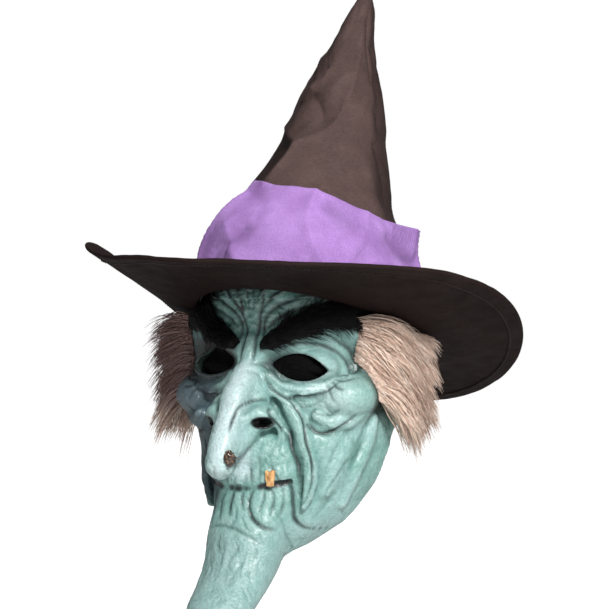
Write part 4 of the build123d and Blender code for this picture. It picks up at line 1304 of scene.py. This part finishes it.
class Shader:
    """A material with one Principled shader, and short calls for the nodes in front of it."""

    def __init__(self, name, roughness=0.6, **values):
        self.material = bpy.data.materials.new(name)
        self.material.use_nodes = True
        self.nodes, self.links = self.material.node_tree.nodes, self.material.node_tree.links
        self.main = self.nodes["Principled BSDF"]
        self.set("Roughness", roughness)
        for socket, value in values.items():
            self.set(socket.replace("_", " "), value)

    def set(self, socket, value):
        self.main.inputs[socket].default_value = value

    def node(self, kind, inputs=(), **settings):
        made = self.nodes.new("ShaderNode" + kind)
        for name, value in settings.items():
            setattr(made, name, value)
        for key, value in dict(inputs).items():
            if isinstance(value, bpy.types.NodeSocket):
                self.links.new(value, made.inputs[key])
            else:
                made.inputs[key].default_value = value
        return made

    def place(self, stretch=(1, 1, 1)):
        """Object coordinates in millimetres, squeezed by stretch."""
        source = self.node("TexCoord").outputs["Object"]
        return self.node("Mapping", {"Vector": source, "Scale": tuple(1000 / s for s in stretch)}).outputs[0]

    def noise(self, size, detail=3, stretch=(1, 1, 1), rough=0.5):
        """Noise with features of about size millimetres."""
        inputs = {"Vector": self.place(stretch), "Scale": 1 / size, "Detail": detail, "Roughness": rough}
        return self.node("TexNoise", inputs).outputs["Fac"]

    def cells(self, size, feature="F1", spread=1.0):
        """Distance from the middles of cells of about size millimetres."""
        inputs = {"Vector": self.place(), "Scale": 1 / size, "Randomness": spread}
        return self.node("TexVoronoi", inputs, feature=feature).outputs["Distance"]

    def waves(self, size, direction="X", distort=0.0):
        """Parallel ridges about size millimetres apart."""
        inputs = {"Vector": self.place(), "Scale": 0.314 / size, "Distortion": distort,
                  "Detail": 2.0, "Detail Scale": 0.6}
        return self.node("TexWave", inputs, bands_direction=direction).outputs["Fac"]

    def ramp(self, value, stops):
        """A ramp through (position, grey or colour) stops."""
        made = self.node("ValToRGB", {"Fac": value})
        elements = made.color_ramp.elements
        while len(elements) < len(stops):
            elements.new(0.5)
        for element, (at, shade) in zip(elements, stops):
            element.position = at
            element.color = (*((shade,) * 3 if isinstance(shade, (int, float)) else shade), 1)
        return made.outputs["Color"]

    def tones(self, value, *stops):
        """A ramp through colours, each given as (position, red, green, blue)."""
        return self.ramp(value, [(at, tuple(colour(*shade))) for at, *shade in stops])

    def times(self, a, b, factor=1.0):
        """One colour multiplied by another."""
        inputs = {6: a, 7: b, 0: factor}
        return self.node("Mix", inputs, data_type="RGBA", blend_type="MULTIPLY").outputs[2]

    def sum(self, a, b):
        return self.node("Math", {0: a, 1: b}, operation="ADD").outputs[0]

    def bump(self, *heights):
        """Bumps from (height, depth in millimetres) pairs, one on top of the other."""
        normal = None
        for height, depth in heights:
            inputs = {"Height": height, "Strength": 1.0, "Distance": depth * MM}
            if normal is not None:
                inputs["Normal"] = normal
            normal = self.node("Bump", inputs).outputs[0]
        self.links.new(normal, self.main.inputs["Normal"])

    def drive(self, socket, value):
        self.links.new(value, self.main.inputs[socket])

    def paint(self):
        """The colour painted on the points of the piece."""
        return self.node("Attribute", attribute_name="tint").outputs["Color"]


def latex_material():
    s = Shader("painted_latex", Specular_IOR_Level=0.5, Coat_Weight=0.16, Coat_Roughness=0.22)
    mottle = s.ramp(s.noise(7, 4), [(0.3, 0.92), (0.7, 1.05)])
    paint = s.times(s.paint(), mottle)
    grain = s.noise(1.5, 4, rough=0.6)
    specks = s.ramp(grain, [(0.36, 0.76), (0.56, 1.05)])
    s.drive("Base Color", s.times(paint, specks, 0.6))
    s.drive("Roughness", s.ramp(s.noise(3.2, 4), [(0.3, 0.30), (0.7, 0.50)]))
    pebbles = s.ramp(s.cells(2.1, "SMOOTH_F1"), [(0.1, 1.0), (0.75, 0.0)])
    s.bump((s.noise(5, 3, (1, 1, 1.6)), 0.9), (pebbles, 0.32), (grain, 0.40), (s.noise(0.8, 3), 0.14))
    return s.material


def gauze_material():
    s = Shader("black_gauze", 0.95, Specular_IOR_Level=0.05)
    net = s.cells(0.8, spread=0.15)
    s.drive("Base Color", s.ramp(net, [(0.2, (0.006, 0.006, 0.006)), (0.6, (0.002, 0.002, 0.002))]))
    s.bump((net, 0.15))
    return s.material


def weave(s, pitch):
    """Threads over and under each other, as a height."""
    return s.sum(s.waves(pitch, "X", 0.4), s.waves(pitch, "Z", 0.4))


def satin_material(name, bright=1.0, gloss=0.5, tinted=False):
    """The hat's dark satin: how bright it is, how glossy, and whether its points carry painted shade."""
    s = Shader(name, Specular_IOR_Level=gloss, Specular_Tint=(1.0, 0.90, 0.87, 1), Anisotropic=0.4)
    dark, pale = tuple(bright * colour(50, 39, 37)), tuple(bright * colour(62, 49, 47))
    streaks = s.ramp(s.noise(3.0, 4, (1, 1, 0.25)), [(0.3, dark), (0.7, pale)])
    base = s.times(streaks, s.ramp(s.noise(38, 3), [(0.35, 0.8), (0.65, 1.12)]))
    s.drive("Base Color", s.times(base, s.paint()) if tinted else base)
    s.drive("Roughness", s.ramp(s.noise(14, 3), [(0.3, 0.50), (0.7, 0.66)]))
    s.bump((weave(s, 0.55), 0.05), (s.noise(13, 2), 0.35), (s.noise(1.6, 3), 0.05))
    return s.material


def lining_material():
    s = Shader("lining", 0.7, Sheen_Weight=0.2)
    threads = weave(s, 0.8)
    s.drive("Base Color", s.tones(threads, (0.1, 24, 20, 20), (0.9, 44, 37, 37)))
    s.bump((threads, 0.10), (s.noise(18, 3), 0.6))
    return s.material


def band_material():
    s = Shader("purple_cloth", 0.85, Specular_IOR_Level=0.15)
    threads = weave(s, 0.7)
    slubs = s.noise(2.6, 4, (0.35, 0.35, 2.2))
    tone = s.tones(s.noise(30, 4), (0.3, 150, 112, 174), (0.7, 172, 134, 198))
    fine = s.ramp(slubs, [(0.35, 0.86), (0.65, 1.08)])
    s.drive("Base Color", s.times(s.times(tone, fine), s.paint()))
    s.bump((threads, 0.12), (slubs, 0.22), (s.noise(9, 3), 0.7))
    return s.material


def fur_material(name, roughness, gloss=0.3):
    s = Shader(name, roughness, Specular_IOR_Level=gloss)
    streak = s.ramp(s.noise(2.2, 3), [(0.3, 0.82), (0.7, 1.15)])
    s.drive("Base Color", s.times(s.paint(), streak))
    s.bump((s.noise(0.8, 2), 0.1))
    return s.material


def wart_material():
    s = Shader("glossy_wart", 0.18, Coat_Weight=0.8, Coat_Roughness=0.08)
    blotch = s.noise(2.4, 4)
    s.drive("Base Color", s.tones(blotch, (0.42, 24, 17, 14), (0.6, 84, 58, 38), (0.72, 196, 156, 104)))
    s.bump((s.noise(1.3, 4), 0.35))
    return s.material


def tooth_material():
    s = Shader("worn_tooth", 0.35, Coat_Weight=0.4, Coat_Roughness=0.2)
    stain_and_shade = s.noise(3.4, 5, (1, 1, 1.8))
    s.drive("Base Color", s.tones(stain_and_shade, (0.3, 140, 84, 40), (0.5, 212, 160, 104), (0.72, 232, 192, 140)))
    s.bump((s.noise(1.6, 4, (0.6, 0.6, 2)), 0.3))
    return s.material


def foam_material():
    s = Shader("foam", 0.95, Specular_IOR_Level=0.2)
    pores = s.cells(1.6)
    s.drive("Base Color", s.tones(pores, (0.1, 48, 48, 50), (0.6, 92, 92, 94)))
    s.bump((pores, 0.5), (s.noise(0.8, 3), 0.2))
    return s.material


def felt_material():
    s = Shader("felt", 0.95, Sheen_Weight=0.3)
    fibres = s.noise(1.2, 5, (2.5, 0.6, 1))
    s.drive("Base Color", s.tones(fibres, (0.3, 30, 28, 28), (0.7, 58, 54, 54)))
    s.bump((fibres, 0.25))
    return s.material


def wire_material():
    s = Shader("wire", 0.35, Metallic=1.0)
    s.drive("Base Color", s.tones(s.noise(4, 3), (0.3, 120, 122, 126), (0.7, 168, 170, 174)))
    s.bump((s.noise(0.6, 2), 0.03))
    return s.material


def thread_material():
    s = Shader("thread", 0.6)
    twist = s.waves(0.5, "DIAGONAL", 0.5)
    s.drive("Base Color", s.tones(twist, (0.2, 34, 27, 26), (0.8, 72, 60, 58)))
    s.bump((twist, 0.08))
    return s.material


def strap_material():
    s = Shader("elastic", 0.85, Sheen_Weight=0.2)
    cords, rows = s.waves(1.3, "Z", 0.1), s.waves(0.9, "X", 0.4)
    s.drive("Base Color", s.tones(s.sum(cords, rows), (0.2, 12, 12, 13), (0.9, 46, 44, 46)))
    s.bump((cords, 0.25), (rows, 0.10))
    return s.material


def sweatband_material():
    s = Shader("sweatband", 0.75, Sheen_Weight=0.2)
    ribs = s.waves(1.1, "Z", 0.15)
    grain = s.noise(1.5, 4)
    s.drive("Base Color", s.tones(s.sum(ribs, grain), (0.3, 18, 16, 17), (0.95, 52, 46, 46)))
    s.bump((ribs, 0.3), (grain, 0.1))
    return s.material


def rivet_material():
    s = Shader("blackened_steel", 0.3, Metallic=1.0)
    scuffs = s.noise(1.6, 5, (0.4, 2.2, 2.2))
    s.drive("Base Color", s.tones(scuffs, (0.35, 64, 62, 62), (0.68, 128, 124, 120)))
    s.drive("Roughness", s.ramp(scuffs, [(0.3, 0.22), (0.7, 0.46)]))
    s.bump((scuffs, 0.05))
    return s.material


def dress_cad_nodes():
    """The CAD pieces that stay get their own materials."""
    for node, material in (("elastic_strap", strap_material()), ("hat_sweatband", sweatband_material()),
                           ("strap_rivets", rivet_material()), ("strap_washers", rivet_material())):
        for slot in bpy.data.objects[node].material_slots:
            slot.link = "OBJECT"
            slot.material = material


# ---- floor, light and camera -------------------------------------------------------------------------
def studio():
    plain = Shader("studio_white", 0.9)
    plain.drive("Base Color", plain.ramp(plain.noise(60, 2), [(0.3, 0.78), (0.7, 0.82)]))
    plain.set("Emission Color", (1, 1, 1, 1))
    seen = plain.node("LightPath").outputs["Is Camera Ray"]
    plain.drive("Emission Strength", seen)
    floor_z, half = CAD_BOX[0][2] / MM - 60, 6000
    ticks = np.linspace(-half, half, 13)
    points = np.array([[x, y, floor_z] for y in ticks for x in ticks])
    mesh = bpy.data.meshes.new("studio_floor")
    faces = grid_faces(len(ticks), len(ticks), closed=False)
    mesh.from_pydata((points * MM).tolist(), [], faces.tolist())
    mesh.polygons.foreach_set("use_smooth", np.ones(len(faces), bool))
    mesh.materials.append(plain.material)
    floor = bpy.data.objects.new("studio_floor", mesh)
    bpy.context.collection.objects.link(floor)


CAMERA_TURN = radians(30)      # the camera stands this far round from the front, towards the wearer's left
CAMERA_AIM = (-2.5, 18.4)      # what it looks at: across its view and up
CAMERA_AWAY = 2200.0
VIEW_WIDTH = 507.5
AMBIENT = 0.18


def from_camera(across, up, towards):
    """A place given as seen from the camera, in metres."""
    right = Vector((cos(CAMERA_TURN), sin(CAMERA_TURN), 0))
    front = Vector((sin(CAMERA_TURN), -cos(CAMERA_TURN), 0))
    return (right * across + front * towards + Vector((0, 0, up))) * MM


def aim(thing, target):
    thing.rotation_mode = "QUATERNION"
    thing.rotation_quaternion = (Vector(target) - thing.location).to_track_quat("-Z", "Y")


def camera():
    data = bpy.data.cameras.new("camera")
    data.sensor_width = 36
    data.lens = 36 * CAMERA_AWAY / VIEW_WIDTH
    thing = bpy.data.objects.new("camera", data)
    bpy.context.collection.objects.link(thing)
    across, up = CAMERA_AIM
    thing.location = from_camera(across, up, CAMERA_AWAY)
    aim(thing, from_camera(across, up, 0))
    bpy.context.scene.camera = thing


def lamp(name, place, size, power, tone=(1, 1, 1)):
    data = bpy.data.lights.new(name, "AREA")
    data.shape = "DISK"
    data.size, data.energy, data.color = size, power, tone
    thing = bpy.data.objects.new(name, data)
    bpy.context.collection.objects.link(thing)
    thing.location = from_camera(*place)
    aim(thing, (0, 0, 0))


def lights():
    lamp("key_light", (460, 1150, 1850), 0.55, 64)
    lamp("top_light", (200, 1900, 700), 1.0, 10)
    world = bpy.data.worlds.new("studio")
    world.use_nodes = True
    nodes, links = world.node_tree.nodes, world.node_tree.links
    nodes["Background"].inputs["Color"].default_value = (1, 1, 1, 1)
    seen = nodes.new("ShaderNodeLightPath").outputs["Is Camera Ray"]
    strength = nodes.new("ShaderNodeMapRange")
    strength.inputs["To Min"].default_value = AMBIENT
    strength.inputs["To Max"].default_value = 1.0
    links.new(seen, strength.inputs["Value"])
    links.new(strength.outputs[0], nodes["Background"].inputs["Strength"])
    bpy.context.scene.world = world


bpy.context.scene.view_settings.view_transform = "Standard"
field = latex_face()
for side, hand in ((1, "left"), (-1, "right")):
    eye_gauze(field, side, f"eye_gauze_{hand}")
    eyebrow(field, side, f"eyebrow_{hand}")
    hair(field, side, f"hair_{hand}")
nose_wart(field)
snaggle_tooth(field)
hat_tape(field)
forehead_pad(field)
hat()
dress_cad_nodes()
studio()
camera()
lights()
